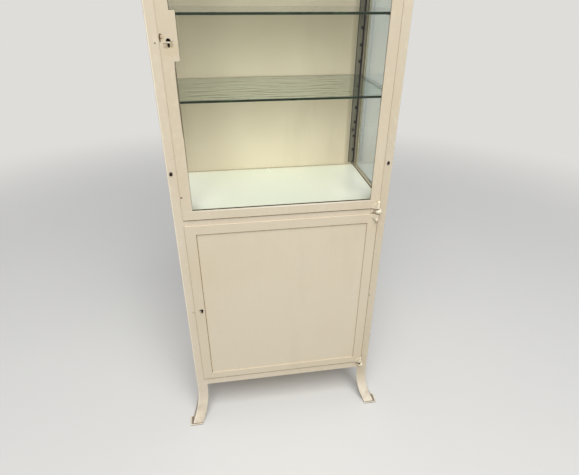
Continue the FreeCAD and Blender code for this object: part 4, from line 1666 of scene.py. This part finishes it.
def rounded_box(low: Vector, high: Vector, corner: float, edge: float, axis: int = 2) -> Mesh:
    """Plate with rounded corners in its plane and eased edges on both faces.

    Args:
        low: Lowest corner.
        high: Highest corner.
        corner: Radius of the corners in the plate's plane.
        edge: Width of the eased edges.
        axis: Number of the axis that the plate is thin along.

    Returns:
        The new mesh, with a corner attribute that is 1 on the eased edges.
    """
    first, second = [number for number in range(3) if number != axis]
    half = ((high[first] - low[first]) / 2, (high[second] - low[second]) / 2)
    middle = ((high[first] + low[first]) / 2, (high[second] + low[second]) / 2)
    made = bmesh.new()
    rings = []
    part = edge * EASE
    levels = [(low[axis], edge), (low[axis] + part, part), (low[axis] + edge, 0.0),
              (high[axis] - edge, 0.0), (high[axis] - part, part), (high[axis], edge)]
    for level, inset in levels:
        ring = []
        turn = max(corner - inset, LEAST_CORNER)
        for sign_a, sign_b, start in QUARTERS:
            centre = (middle[0] + sign_a * (half[0] - inset - turn),
                      middle[1] + sign_b * (half[1] - inset - turn))
            for a, b in arc(centre, turn, start, start + 90, CORNER_STEPS):
                place = [0.0, 0.0, 0.0]
                place[first], place[second], place[axis] = a, b, level
                ring.append(made.verts.new(place))
        rings.append(ring)
    made.faces.new(rings[0])
    made.faces.new(rings[-1])
    layer = made.loops.layers.float.new(EDGE_LAYER)
    count = len(rings[0])
    straight = len(levels) // 2 - 1
    for number, (below, above) in enumerate(zip(rings, rings[1:])):
        for index in range(count):
            after = (index + 1) % count
            face = made.faces.new((below[index], below[after], above[after], above[index]))
            for loop in face.loops:
                loop[layer] = 0.0 if number == straight else 1.0
    bmesh.ops.recalc_face_normals(made, faces=made.faces)
    mesh = bpy.data.meshes.new("plate")
    made.to_mesh(mesh)
    made.free()
    return mesh


@dataclass(frozen=True)
class DoorGapLine:
    """Line of dirt and painted shadow on the frame beside one edge of a door."""

    door: str
    edge: Edge
    radius: float
    gap: float


@dataclass
class Frame:
    """Posts with their curved legs, foot pads, rails, sheets and roof."""

    bench: Bench
    half_width: float = HALF_WIDTH
    half_depth: float = HALF_DEPTH
    height: float = 1.684
    top_step: float = 0.0006
    narrow: float = 0.0012
    flange: float = 0.034
    steel: float = 0.003
    heel: float = 0.0035
    throat: float = 0.0015
    toe: float = 0.0009
    flare_top: float = 0.118
    flare_side: float = 0.026
    flare_front: float = 0.044
    pad_top: float = 0.004
    pad_corner: float = 0.003
    pad_edge: float = 0.0009
    foot_seam_rise: float = 0.0002
    foot_seam_radius: float = 0.0009
    foot_seed: float = 3.0
    leg_steps: int = 28
    roof_corner: float = 0.0035
    roof_edge: float = 0.0004
    back_bead_edge: float = 0.0004
    side_bead_edge: float = 0.0005
    gap_line_seed: float = 41.0
    gap_line_unevenness: float = 0.6
    # Dirt with painted shadow in the gaps round the doors: door, edge, radius and gap of each
    # line.
    dirt: tuple[DoorGapLine, ...] = (
        DoorGapLine("upper", Edge.BOTTOM, 0.0009, 0.0021),
        DoorGapLine("upper", Edge.LEFT, 0.0001, 0.0001),
        DoorGapLine("upper", Edge.RIGHT, 0.0005, 0.0012),
        DoorGapLine("lower", Edge.BOTTOM, 0.0008, 0.0036),
        DoorGapLine("lower", Edge.LEFT, 0.0004, 0.0002),
        DoorGapLine("lower", Edge.RIGHT, 0.0008, 0.0015),
    )

    def angle_outline(self) -> list[tuple[float, float]]:
        """Outline of the front left post, with a round heel, throat and toes.

        Returns:
            Points along X and Y.
        """
        x, y = -self.half_width, -self.half_depth
        thick, reach, toe = self.steel, self.flange, self.toe
        outline = arc((x + self.heel, y + self.heel), self.heel, 180, 270, 6)
        outline += arc((x + reach - toe, y + toe), toe, 270, 360, 3)
        outline += arc((x + reach - toe, y + thick - toe), toe, 0, 90, 3)
        inner = thick + self.throat
        outline += arc((x + inner, y + inner), self.throat, 270, 180, 4)
        outline += arc((x + thick - toe, y + reach - toe), toe, 0, 90, 3)
        outline += arc((x + toe, y + reach - toe), toe, 90, 180, 3)
        return outline

    def leg_offset(self, z: float) -> tuple[float, float]:
        """How far the leg has moved outwards at one height.

        Args:
            z: Height above the floor.

        Returns:
            The moves along X and Y of the front left post.
        """
        if z >= self.flare_top:
            return 0.0, 0.0
        drop = self.flare_top - self.pad_top
        reach = math.hypot(self.flare_side, self.flare_front)
        radius = drop / math.sin(2 * math.atan2(reach, drop))
        down = self.flare_top - z
        along = radius - math.sqrt(radius * radius - down * down)
        return -along * self.flare_side / reach, -along * self.flare_front / reach

    def post(self, side: Side, front: bool) -> Mesh:
        """One post with its leg.

        Args:
            side: Side of the cabinet.
            front: True for the front of it.

        Returns:
            The new mesh.
        """
        steps = self.leg_steps
        span = self.flare_top - self.pad_top
        levels = [self.pad_top + span * step / steps for step in range(steps + 1)]
        levels += [self.height - self.top_step, self.height]
        turn_y = 1 if front else -1

        def lift(x: float, y: float, z: float) -> Point:
            """Place of an outline point at one height."""
            shift_x, shift_y = self.leg_offset(z)
            return -side.value * (x + shift_x), turn_y * (y + shift_y), z

        return outline_prism(self.angle_outline(), lift, levels)

    def mark_edges(self, mesh: Mesh) -> None:
        """Mark the rounded heel and toes of a post, which are its narrow long faces.

        Args:
            mesh: Mesh of the post.
        """
        layer = mesh.attributes.new(EDGE_LAYER, "FLOAT", "CORNER")
        values = []
        for face in mesh.polygons:
            edges = [(mesh.vertices[a].co - mesh.vertices[b].co).length
                     for a, b in face.edge_keys]
            narrow = len(edges) == 4 and min(edges) < self.narrow
            values.extend([1.0 if narrow else 0.0] * face.loop_total)
        layer.data.foreach_set("value", values)

    def build(self) -> None:
        """Dress the whole frame."""
        palette = self.bench.palette
        for end in ("front", "rear"):
            for side in Side:
                corner = f"{end}_{side.name.lower()}"
                mesh = self.post(side, end == "front")
                self.mark_edges(mesh)
                paint = palette.post if side is Side.LEFT else palette.shaded_post
                self.bench.piece(corner + "_angle_post", mesh, "cabinet", "frame_enamel",
                                 paint, (corner + "_post",))
                self.foot(corner, side, end == "front")
        for level in ("bottom", "middle", "top"):
            for place in ("front", "rear", "left", "right"):
                self.bench.rolled(f"{level}_{place}_rail", "cabinet", "frame_enamel",
                                  palette.rail)
        low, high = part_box("roof_panel")
        self.bench.piece("roof_sheet", rounded_box(low, high, self.roof_corner, self.roof_edge),
                         "cabinet", "sheet_enamel", palette.sheet, ("roof_panel",))
        for node in ("middle_floor", "bottom_floor", "lower_back_panel", "left_lower_panel",
                     "right_lower_panel"):
            self.bench.paint(node, palette.sheet)
        self.door_lines()
        self.bench.paint("upper_back_panel", palette.back)
        self.bench.rolled("back_panel_beads", "cabinet", "sheet_enamel", palette.back,
                          self.back_bead_edge)
        self.bench.rolled("side_glass_beads", "cabinet", "sheet_enamel", palette.side_bead,
                          self.side_bead_edge)

    def door_lines(self) -> None:
        """Dirt and painted shadow on the frame along the edges of both doors."""
        y = -self.half_depth
        for number, line in enumerate(self.dirt):
            low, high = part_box(line.door + "_door_frame")
            x_low, x_high = low.x - line.gap, high.x + line.gap
            z_low = low.z - line.gap
            start, end = {
                Edge.BOTTOM: ((low.x, y, z_low), (high.x, y, z_low)),
                Edge.LEFT: ((x_low, y, low.z), (x_low, y, high.z)),
                Edge.RIGHT: ((x_high, y, low.z), (x_high, y, high.z)),
            }[line.edge]
            self.bench.seam(f"{line.door}_door_dirt_{line.edge.value}", [start, end], False,
                            line.radius, self.bench.palette.dirt, "cabinet", "frame_enamel",
                            self.gap_line_seed + number, self.gap_line_unevenness)

    def foot(self, corner: str, side: Side, front: bool) -> None:
        """Foot pad with a rusty rim, and the rusty line where the leg stands on it.

        Args:
            corner: Words for the corner of the cabinet.
            side: Side of the cabinet.
            front: True for the front of it.
        """
        palette = self.bench.palette
        node = corner + "_foot_pad"
        low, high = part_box(node)
        self.bench.piece(corner + "_pad_plate",
                         rounded_box(low, high, self.pad_corner, self.pad_edge),
                         "cabinet", "pad_enamel", palette.pad, (node,))
        shift_x, shift_y = self.leg_offset(self.pad_top)
        turn_y = 1 if front else -1
        z = self.pad_top + self.foot_seam_rise
        line = [(-side.value * (x + shift_x), turn_y * (y + shift_y), z)
                for x, y in self.angle_outline()]
        self.bench.seam(corner + "_foot_seam", line, True, self.foot_seam_radius, palette.rust,
                        "cabinet", "pad_enamel", self.foot_seed + side.value + turn_y)


@dataclass
class Supports:
    """Perforated strips, their screws, and the rods and shelves that they carry."""

    bench: Bench
    first_hole: float = FIRST_HOLE
    pitch: float = HOLE_PITCH
    count: int = 15
    hole_radius: float = 0.0023
    rod_inset: float = ROD_INSET
    half_width: float = HALF_WIDTH
    half_depth: float = HALF_DEPTH
    head_radius: float = 0.0058
    head_rise: float = 0.0028
    head_sink: float = 0.0004
    screw_slot: float = 0.0013
    screw_turn: float = 0.5
    ring_ball: float = 0.022
    ring_radius: float = 0.0078
    ring_rise: float = 0.0009
    screw_heights: tuple[float, float] = (0.9137, 1.5263)
    front_inset: float = 0.0122
    rear_inset: float = 0.0210
    steel: float = 0.0020
    lip: float = 0.001
    shelf_corner: float = 0.0020
    shelf_edge: float = 0.0006
    flat: float = 0.9

    def strip(self, node: str, side: Side, front: bool) -> None:
        """One perforated strip.

        Args:
            node: Node of the frame that it stands for.
            side: Side of the cabinet.
            front: True for the front of it.
        """
        low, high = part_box(node)
        bar_low, bar_high = low.copy(), high.copy()
        if front:
            # A front strip has no return, so its lip is a crumb inside the bar
            lip_low = low.copy()
            lip_high = Vector((low.x + self.lip, high.y, low.z + self.lip))
        else:
            bar_low.y = high.y - self.steel
            outer = high.x if side is Side.RIGHT else low.x
            inner = outer - side.value * self.lip
            lip_low = Vector((min(outer, inner), low.y, low.z))
            lip_high = Vector((max(outer, inner), high.y, high.z))
        hole = (side.value * (self.half_width - self.rod_inset), (bar_low.y + bar_high.y) / 2,
                self.first_hole)
        mesh = self.bench.strips.grow(node + "_punched", self.bench.points([(0, 0, 0)]), {
            "Bar Size": tuple(bar_high - bar_low), "Bar Middle": tuple((bar_high + bar_low) / 2),
            "Lip Size": tuple(lip_high - lip_low), "Lip Middle": tuple((lip_high + lip_low) / 2),
            "First Hole": hole, "Pitch": self.pitch, "Count": self.count,
            "Hole Radius": self.hole_radius, "Material": self.bench.palette.strip})
        self.bench.piece(node + "_punched", mesh, "cabinet", "strip_steel", None, (node,))

    def screws(self) -> None:
        """Slotted heads at the front posts and on the rear strips, with rings of old paint."""
        radius, rise = self.head_radius, self.head_rise
        ball = (radius * radius + rise * rise) / (2 * rise)
        rear_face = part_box("rear_left_shelf_strip")[1].y - self.steel
        front, rear = [], []
        for side in Side:
            for z in self.screw_heights:
                front.append((side.value * (self.half_width - self.front_inset),
                              -self.half_depth, z))
                rear.append((side.value * (self.half_width - self.rear_inset), rear_face, z))
        values = {"Ball": ball, "Radius": radius, "Rise": rise, "Sink": self.head_sink,
                  "Slot": self.screw_slot, "Rotation": (TO_FRONT, 0.0, self.screw_turn),
                  "Material": self.bench.palette.screw}
        mesh = self.bench.slotted.grow("strip_screw_heads", self.bench.points(front + rear),
                                       values)
        self.bench.piece("strip_screw_heads", mesh, "cabinet", "screw_steel", None,
                         ("strip_screws",))
        rings = {"Ball": self.ring_ball, "Radius": self.ring_radius, "Rise": self.ring_rise,
                 "Sink": self.head_sink, "Slot": 0.0, "Rotation": (TO_FRONT, 0.0, 0.0),
                 "Material": self.bench.palette.post}
        mesh = self.bench.plain.grow("screw_paint_rings", self.bench.points(front), rings)
        self.bench.piece("screw_paint_rings", mesh, "cabinet", "frame_enamel")

    def shelf(self, name: str) -> None:
        """One clear shelf with ground edges, and its rods.

        Args:
            name: The first word of its nodes.
        """
        palette = self.bench.palette
        low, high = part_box(name + "_glass_shelf")
        mesh = rounded_box(low, high, self.shelf_corner, self.shelf_edge)
        mesh.materials.append(palette.shelf)
        mesh.materials.append(palette.shelf_edge)
        for face in mesh.polygons:
            face.material_index = 0 if abs(face.normal.z) > self.flat else 1
        self.bench.piece(name + "_shelf_plate", mesh, name + "_shelf", "shelf_glass", None,
                         (name + "_glass_shelf",))
        self.bench.paint(name + "_shelf_rods", palette.rod)

    def build(self) -> None:
        """Dress everything that carries or is a shelf."""
        for end in ("front", "rear"):
            for side in Side:
                node = f"{end}_{side.name.lower()}_shelf_strip"
                self.strip(node, side, end == "front")
        self.screws()
        for name in SHELVES:
            self.shelf(name)


@dataclass
class Glazing:
    """Side panes and the milk glass floor of the case."""

    bench: Bench
    pane_corner: float = 0.0006
    pane_edge: float = 0.0003
    plate_corner: float = 0.002
    plate_edge: float = 0.0007
    rear_inset: float = 0.0002
    front_inset: float = 0.03
    line_seed: float = 11.0
    line_unevenness: float = 0.5
    grime_radius: float = 0.0016
    rear_radius: float = 0.0009
    paint_radius: float = 0.0022
    paint_inset: float = 0.0002
    dirt_radius: float = 0.0020
    dirt_inset: float = 0.0042

    def build(self) -> None:
        """Dress the panes and the plate."""
        palette = self.bench.palette
        for side in Side:
            node = side.name.lower() + "_side_glass"
            low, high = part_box(node)
            self.bench.piece(side.name.lower() + "_side_pane",
                             rounded_box(low, high, self.pane_corner, self.pane_edge, 0),
                             "cabinet", "clear_glass", palette.side_pane, (node,))
        low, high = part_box("opal_glass_plate")
        self.bench.piece("opal_floor_plate",
                         rounded_box(low, high, self.plate_corner, self.plate_edge),
                         "cabinet", "opal_glass", palette.opal, ("opal_glass_plate",))
        self.plate_lines(low, high)

    def plate_lines(self, low: Vector, high: Vector) -> None:
        """Grime, dirt and paint along the milk glass plate's edges.

        Args:
            low: Lowest corner of the plate.
            high: Highest corner of it.
        """
        palette = self.bench.palette
        z = high.z
        y_front = low.y + self.front_inset
        rear = high.y - self.rear_inset
        paint_x = high.x - self.paint_inset
        dirt_x = high.x - self.dirt_inset
        lines = {
            "grime_left": ((low.x, y_front), (low.x, rear), self.grime_radius, palette.grime),
            "grime_rear": ((low.x, rear), (high.x, rear), self.rear_radius, palette.dirt),
            "grime_right": ((dirt_x, y_front), (dirt_x, rear), self.dirt_radius,
                            palette.side_dirt),
            "paint_right": ((paint_x, y_front), (paint_x, rear), self.paint_radius,
                            palette.edge_paint)}
        for number, (name, (start, end, radius, stuff)) in enumerate(lines.items()):
            self.bench.seam("plate_" + name, [(*start, z), (*end, z)], False, radius, stuff,
                            "cabinet", "opal_glass", self.line_seed + number,
                            self.line_unevenness)


@dataclass
class UpperDoor:
    """Glazed door: frame, lock plate, pane, putty, beads and lock."""

    bench: Bench
    body: str = "upper_door"
    slot: str = "door_enamel"
    stile: float = 0.0275
    rail: float = 0.0275
    long_edge: float = 0.02
    frame_edge: float = 0.0014
    tab_corner: float = 0.0030
    tab_edge: float = 0.0006
    pane_edge: float = 0.0003
    bead_edge: float = 0.0005
    putty_radius: float = 0.00054
    putty_seed: float = 21.0
    putty_unevenness: float = 0.9
    bottom_radius: float = 0.0016
    bottom_rise: float = 0.6
    bottom_seed: float = 22.0
    bottom_unevenness: float = 0.8
    key: Span = UPPER_KEY
    lever_rise: float = 0.0010
    lever_reach: Span = (0.0045, 0.0017)
    lever_depth: float = 0.0005
    lever_corner: float = 0.0012
    lever_edge: float = 0.0003
    tab_root: float = 0.004
    tab_proud: float = 0.00002
    pin_inset: float = 0.0035
    pin_ball: float = 0.0018
    pin_radius: float = 0.0014
    pin_rise: float = 0.0006
    pin_sink: float = 0.0003
    pin_spaces: tuple[int, int] = (4, 7)
    pin_key_gap: float = 0.07

    def build(self) -> None:
        """Dress the door."""
        bench, palette = self.bench, self.bench.palette
        bench.rolled("upper_door_frame", self.body, self.slot, palette.upper_door,
                     self.frame_edge, self.long_edge)
        low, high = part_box("upper_lock_plate")
        low.x -= self.tab_root
        low.y -= self.tab_proud
        bench.piece("upper_lock_tab",
                    rounded_box(low, high, self.tab_corner, self.tab_edge, 1), self.body,
                    self.slot, palette.lock_plate, ("upper_lock_plate",))
        pane = bench.soft_edged(bench.nodes["upper_door_glass"].data, self.pane_edge,
                                self.long_edge)
        bench.piece("upper_door_pane", pane, self.body, "clear_glass", palette.pane,
                    ("upper_door_glass",))
        self.putty()
        bench.rolled("upper_door_beads", self.body, self.slot, palette.sheet, self.bead_edge)
        bench.rolled("upper_door_knuckles", self.body, self.slot, palette.knuckle, KNUCKLE_EDGE,
                     KNUCKLE_LEAST)
        bench.paint("upper_lock_case", palette.lock)
        bench.paint("upper_lock_bolt", palette.lock)
        self.key_lever()
        self.bead_pins()

    def putty(self) -> None:
        """Old putty where the pane meets the frame, thickest at the bottom."""
        frame_low, frame_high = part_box("upper_door_frame")
        pane_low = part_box("upper_door_glass")[0]
        plate_low, plate_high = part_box("upper_lock_plate")
        x_low = frame_low.x + self.stile
        x_high = frame_high.x - self.stile
        z_low, z_high = frame_low.z + self.rail, frame_high.z - self.rail
        y = pane_low.y
        outline = [(x_low, y, z_low), (x_high, y, z_low), (x_high, y, z_high),
                   (x_low, y, z_high), (x_low, y, plate_high.z),
                   (plate_high.x, y, plate_high.z), (plate_high.x, y, plate_low.z),
                   (x_low, y, plate_low.z)]
        self.bench.seam("pane_putty", outline, True, self.putty_radius,
                        self.bench.palette.grime, self.body, self.slot, self.putty_seed,
                        self.putty_unevenness)
        rise = self.bottom_radius * self.bottom_rise
        bottom = [(x_low, y, z_low + rise), (x_high, y, z_low + rise)]
        self.bench.seam("pane_putty_bottom", bottom, False, self.bottom_radius,
                        self.bench.palette.putty, self.body, self.slot, self.bottom_seed,
                        self.bottom_unevenness)

    def key_lever(self) -> None:
        """Pale lever of the lock, seen across the keyhole between its eye and its slot."""
        x, z = self.key
        reach_x, reach_z = self.lever_reach
        middle = z + self.lever_rise
        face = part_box("upper_door_frame")[0].y
        low = Vector((x - reach_x, face + self.lever_depth, middle - reach_z))
        high = Vector((x + reach_x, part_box("upper_lock_case")[0].y, middle + reach_z))
        self.bench.piece("upper_lock_lever",
                         rounded_box(low, high, self.lever_corner, self.lever_edge, 1),
                         self.body, "lock_steel", self.bench.palette.sheet)

    def bead_pins(self) -> None:
        """Pins that hold the beads behind the pane."""
        low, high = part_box("upper_door_beads")
        inset = self.pin_inset
        across, along = self.pin_spaces
        x_low, x_high = low.x + inset, high.x - inset
        z_low, z_high = low.z + inset, high.z - inset
        places = []
        for step in range(1, across):
            x = x_low + (x_high - x_low) * step / across
            places += [(x, high.y, z_low), (x, high.y, z_high)]
        for step in range(1, along):
            z = z_low + (z_high - z_low) * step / along
            places.append((x_high, high.y, z))
            if abs(z - self.key[1]) > self.pin_key_gap:
                places.append((x_low, high.y, z))
        mesh = self.bench.plain.grow("door_bead_pins", self.bench.points(places), {
            "Ball": self.pin_ball, "Radius": self.pin_radius, "Rise": self.pin_rise,
            "Sink": self.pin_sink, "Slot": 0.0, "Rotation": (TO_REAR, 0.0, 0.0),
            "Material": self.bench.palette.screw})
        self.bench.piece("door_bead_pins", mesh, self.body, "screw_steel")


@dataclass
class LowerDoor:
    """Closed door: frame, sheet and lock."""

    bench: Bench
    body: str = "lower_door"
    slot: str = "door_enamel"
    stile: float = 0.0295
    head_rail: float = 0.028
    foot_rail: float = 0.026
    frame_edge: float = 0.0006
    long_edge: float = 0.02
    top_drop: float = 0.0016
    left_line: float = 0.0016
    top_line: float = 0.0010
    right_line: float = 0.00048
    line_seed: float = 31.0
    line_unevenness: float = 0.5

    def build(self) -> None:
        """Dress the door."""
        bench, palette = self.bench, self.bench.palette
        bench.rolled("lower_door_frame", self.body, self.slot, palette.lower_door,
                     self.frame_edge, self.long_edge)
        bench.paint("lower_door_panel", palette.sheet)
        self.recess_line()
        bench.rolled("lower_door_knuckles", self.body, self.slot, palette.knuckle, KNUCKLE_EDGE,
                     KNUCKLE_LEAST)
        bench.paint("lower_lock_case", palette.lock)
        bench.paint("lower_lock_bolt", palette.lock)

    def recess_line(self) -> None:
        """Grime with painted shadow in the corner between the frame and the sunk sheet."""
        low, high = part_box("lower_door_frame")
        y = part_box("lower_door_panel")[0].y
        x_low, x_high = low.x + self.stile, high.x - self.stile
        z_low, z_high = low.z + self.foot_rail, high.z - self.head_rail
        z_seen = z_high - self.top_drop
        lines = {"left": ((x_low, z_low), (x_low, z_seen), self.left_line),
                 "top": ((x_low, z_seen), (x_high, z_seen), self.top_line),
                 "right": ((x_high, z_low), (x_high, z_seen), self.right_line)}
        for number, (name, (start, end, radius)) in enumerate(lines.items()):
            places = [(start[0], y, start[1]), (end[0], y, end[1])]
            self.bench.seam(f"recess_grime_{name}", places, False, radius,
                            self.bench.palette.dirt, self.body, self.slot,
                            self.line_seed + number, self.line_unevenness)


@dataclass
class Hinges:
    """Ball lugs on the frame, pins and keepers."""

    bench: Bench

    def build(self) -> None:
        """Dress the hinge parts and keepers."""
        palette = self.bench.palette
        for place in ("top", "middle", "bottom"):
            self.bench.paint(place + "_hinge_lug", palette.ball)
        self.bench.paint("hinge_pins", palette.pin)
        self.bench.paint("lock_keepers", palette.keeper)


@dataclass(frozen=True)
class Lamp:
    """A soft square lamp that points at the cabinet."""

    name: str
    place: Point
    target: Point
    size: float
    power: float

    def build(self) -> None:
        """Hang the lamp."""
        data = bpy.data.lights.new(self.name, "AREA")
        data.size = self.size
        data.energy = self.power
        made = bpy.data.objects.new(self.name, data)
        made.location = self.place
        aim = Vector(self.target) - Vector(self.place)
        made.rotation_mode = "QUATERNION"
        made.rotation_quaternion = aim.to_track_quat("-Z", "Y")
        bpy.context.scene.collection.objects.link(made)


@dataclass
class Studio:
    """Pale floor, soft light and the camera."""

    camera_place: Point = (-0.1528, -1.2285, 1.3303)
    yaw: float = 9.023
    pitch: float = 30.201
    roll: float = 0.357
    focal_pixels: float = 434.3
    sensor: float = 36.0
    floor_size: float = 400.0
    world_strength: float = 0.40
    lamps: tuple[Lamp, ...] = (
        Lamp("key_softbox", (0.0, -2.3, 4.4), (0.0, 0.0, 0.9), 3.0, 197.0),
    )
    near: float = 1.2
    far: float = 3.6
    clip: float = 0.01
    clouds: Cloud = Cloud(scale=2.0, detail=3.0, start=0.3, full=0.7)
    clouded: float = 0.08
    floor_roughness: float = 0.9
    floor_gloss: float = 0.1

    def camera(self) -> None:
        """Stand the camera where the cabinet is seen as in the picture."""
        yaw, pitch, roll = (math.radians(angle) for angle in (self.yaw, self.pitch, self.roll))
        ahead = Vector((math.sin(yaw), math.cos(yaw), 0.0))
        right = Vector((math.cos(yaw), -math.sin(yaw), 0.0))
        up = Vector((0.0, 0.0, 1.0))
        looking = ahead * math.cos(pitch) - up * math.sin(pitch)
        above = up * math.cos(pitch) + ahead * math.sin(pitch)
        tilted_right = right * math.cos(roll) + above * math.sin(roll)
        tilted_up = above * math.cos(roll) - right * math.sin(roll)
        turn = Matrix((tilted_right, tilted_up, -looking)).transposed().to_4x4()
        data = bpy.data.cameras.new("camera")
        data.sensor_fit = "HORIZONTAL"
        data.sensor_width = self.sensor
        data.lens = self.focal_pixels / PICTURE_SIZE[0] * self.sensor
        data.clip_start = self.clip
        made = bpy.data.objects.new("camera", data)
        made.matrix_world = Matrix.Translation(self.camera_place) @ turn
        bpy.context.scene.collection.objects.link(made)
        bpy.context.scene.camera = made

    def floor(self) -> None:
        """Lay a plain pale floor."""
        half = self.floor_size / 2
        mesh = bpy.data.meshes.new("floor")
        corners = [(-half, -half, 0), (half, -half, 0), (half, half, 0), (-half, half, 0)]
        mesh.from_pydata(corners, [], [(0, 1, 2, 3)])
        tree = MaterialTree("pale_floor")
        colour = tree.mix(self.clouds.cover(tree) * self.clouded, Tint.FLOOR, Tint.HAZE)
        shader = tree.principled(Base_Color=colour, Roughness=self.floor_roughness,
                                 Specular_IOR_Level=self.floor_gloss)
        glow = tree.node("ShaderNodeEmission", {}, {"Color": Tint.FLOOR}).outputs[0]
        reach = tree.x * tree.x + tree.y * tree.y
        seen = tree.rays("Camera", "Transmission")
        away = reach.smooth(self.near * self.near, self.far * self.far) * seen
        both = tree.node("ShaderNodeMixShader", {}, {
            0: away, 1: shader.outputs[0], 2: glow}).outputs[0]
        # Rays that mirror off a surface find the floor as a flat dim glow: a painted reflection,
        # darker than the lit floor.
        dim = tree.node("ShaderNodeEmission", {}, {"Color": Tint.DIM_FLOOR}).outputs[0]
        path = tree.node("ShaderNodeLightPath").outputs
        mirrored = Signal(tree, path["Is Glossy Ray"]) * (
            1.0 - Signal(tree, path["Is Transmission Ray"]))
        whole = tree.node("ShaderNodeMixShader", {}, {0: mirrored, 1: both, 2: dim}).outputs[0]
        mesh.materials.append(tree.output(whole))
        made = bpy.data.objects.new("floor", mesh)
        bpy.context.scene.collection.objects.link(made)

    def world(self) -> None:
        """Light everything evenly from a pale sky, which rays that see it find white."""
        world = bpy.data.worlds.new("world")
        world.use_nodes = True
        bpy.context.scene.world = world
        tree = Tree(world.node_tree)
        seen = tree.rays("Camera", "Transmission")
        lighting = tree.node("ShaderNodeBackground", {}, {
            "Color": Tint.SKY, "Strength": self.world_strength}).outputs[0]
        backdrop = tree.node("ShaderNodeBackground", {}, {
            "Color": Tint.FLOOR, "Strength": 1.0}).outputs[0]
        both = tree.node("ShaderNodeMixShader", {}, {0: seen, 1: lighting, 2: backdrop})
        tree.node("ShaderNodeOutputWorld", {}, {"Surface": both.outputs[0]})

    def build(self) -> None:
        """Set up everything around the cabinet."""
        bpy.context.scene.view_settings.view_transform = "Standard"
        self.floor()
        self.world()
        for lamp in self.lamps:
            lamp.build()
        self.camera()


def main() -> None:
    """Build the stage and every sub-assembly in order."""
    logging.basicConfig(level=logging.INFO, format="%(name)s: %(message)s")
    bench = Bench(Palette())
    Studio().build()
    for assembly in (Frame(bench), Supports(bench), Glazing(bench), UpperDoor(bench),
                     LowerDoor(bench), Hinges(bench)):
        assembly.build()
        LOG.info("%s built", type(assembly).__name__)


if __name__ == "__main__":
    main()
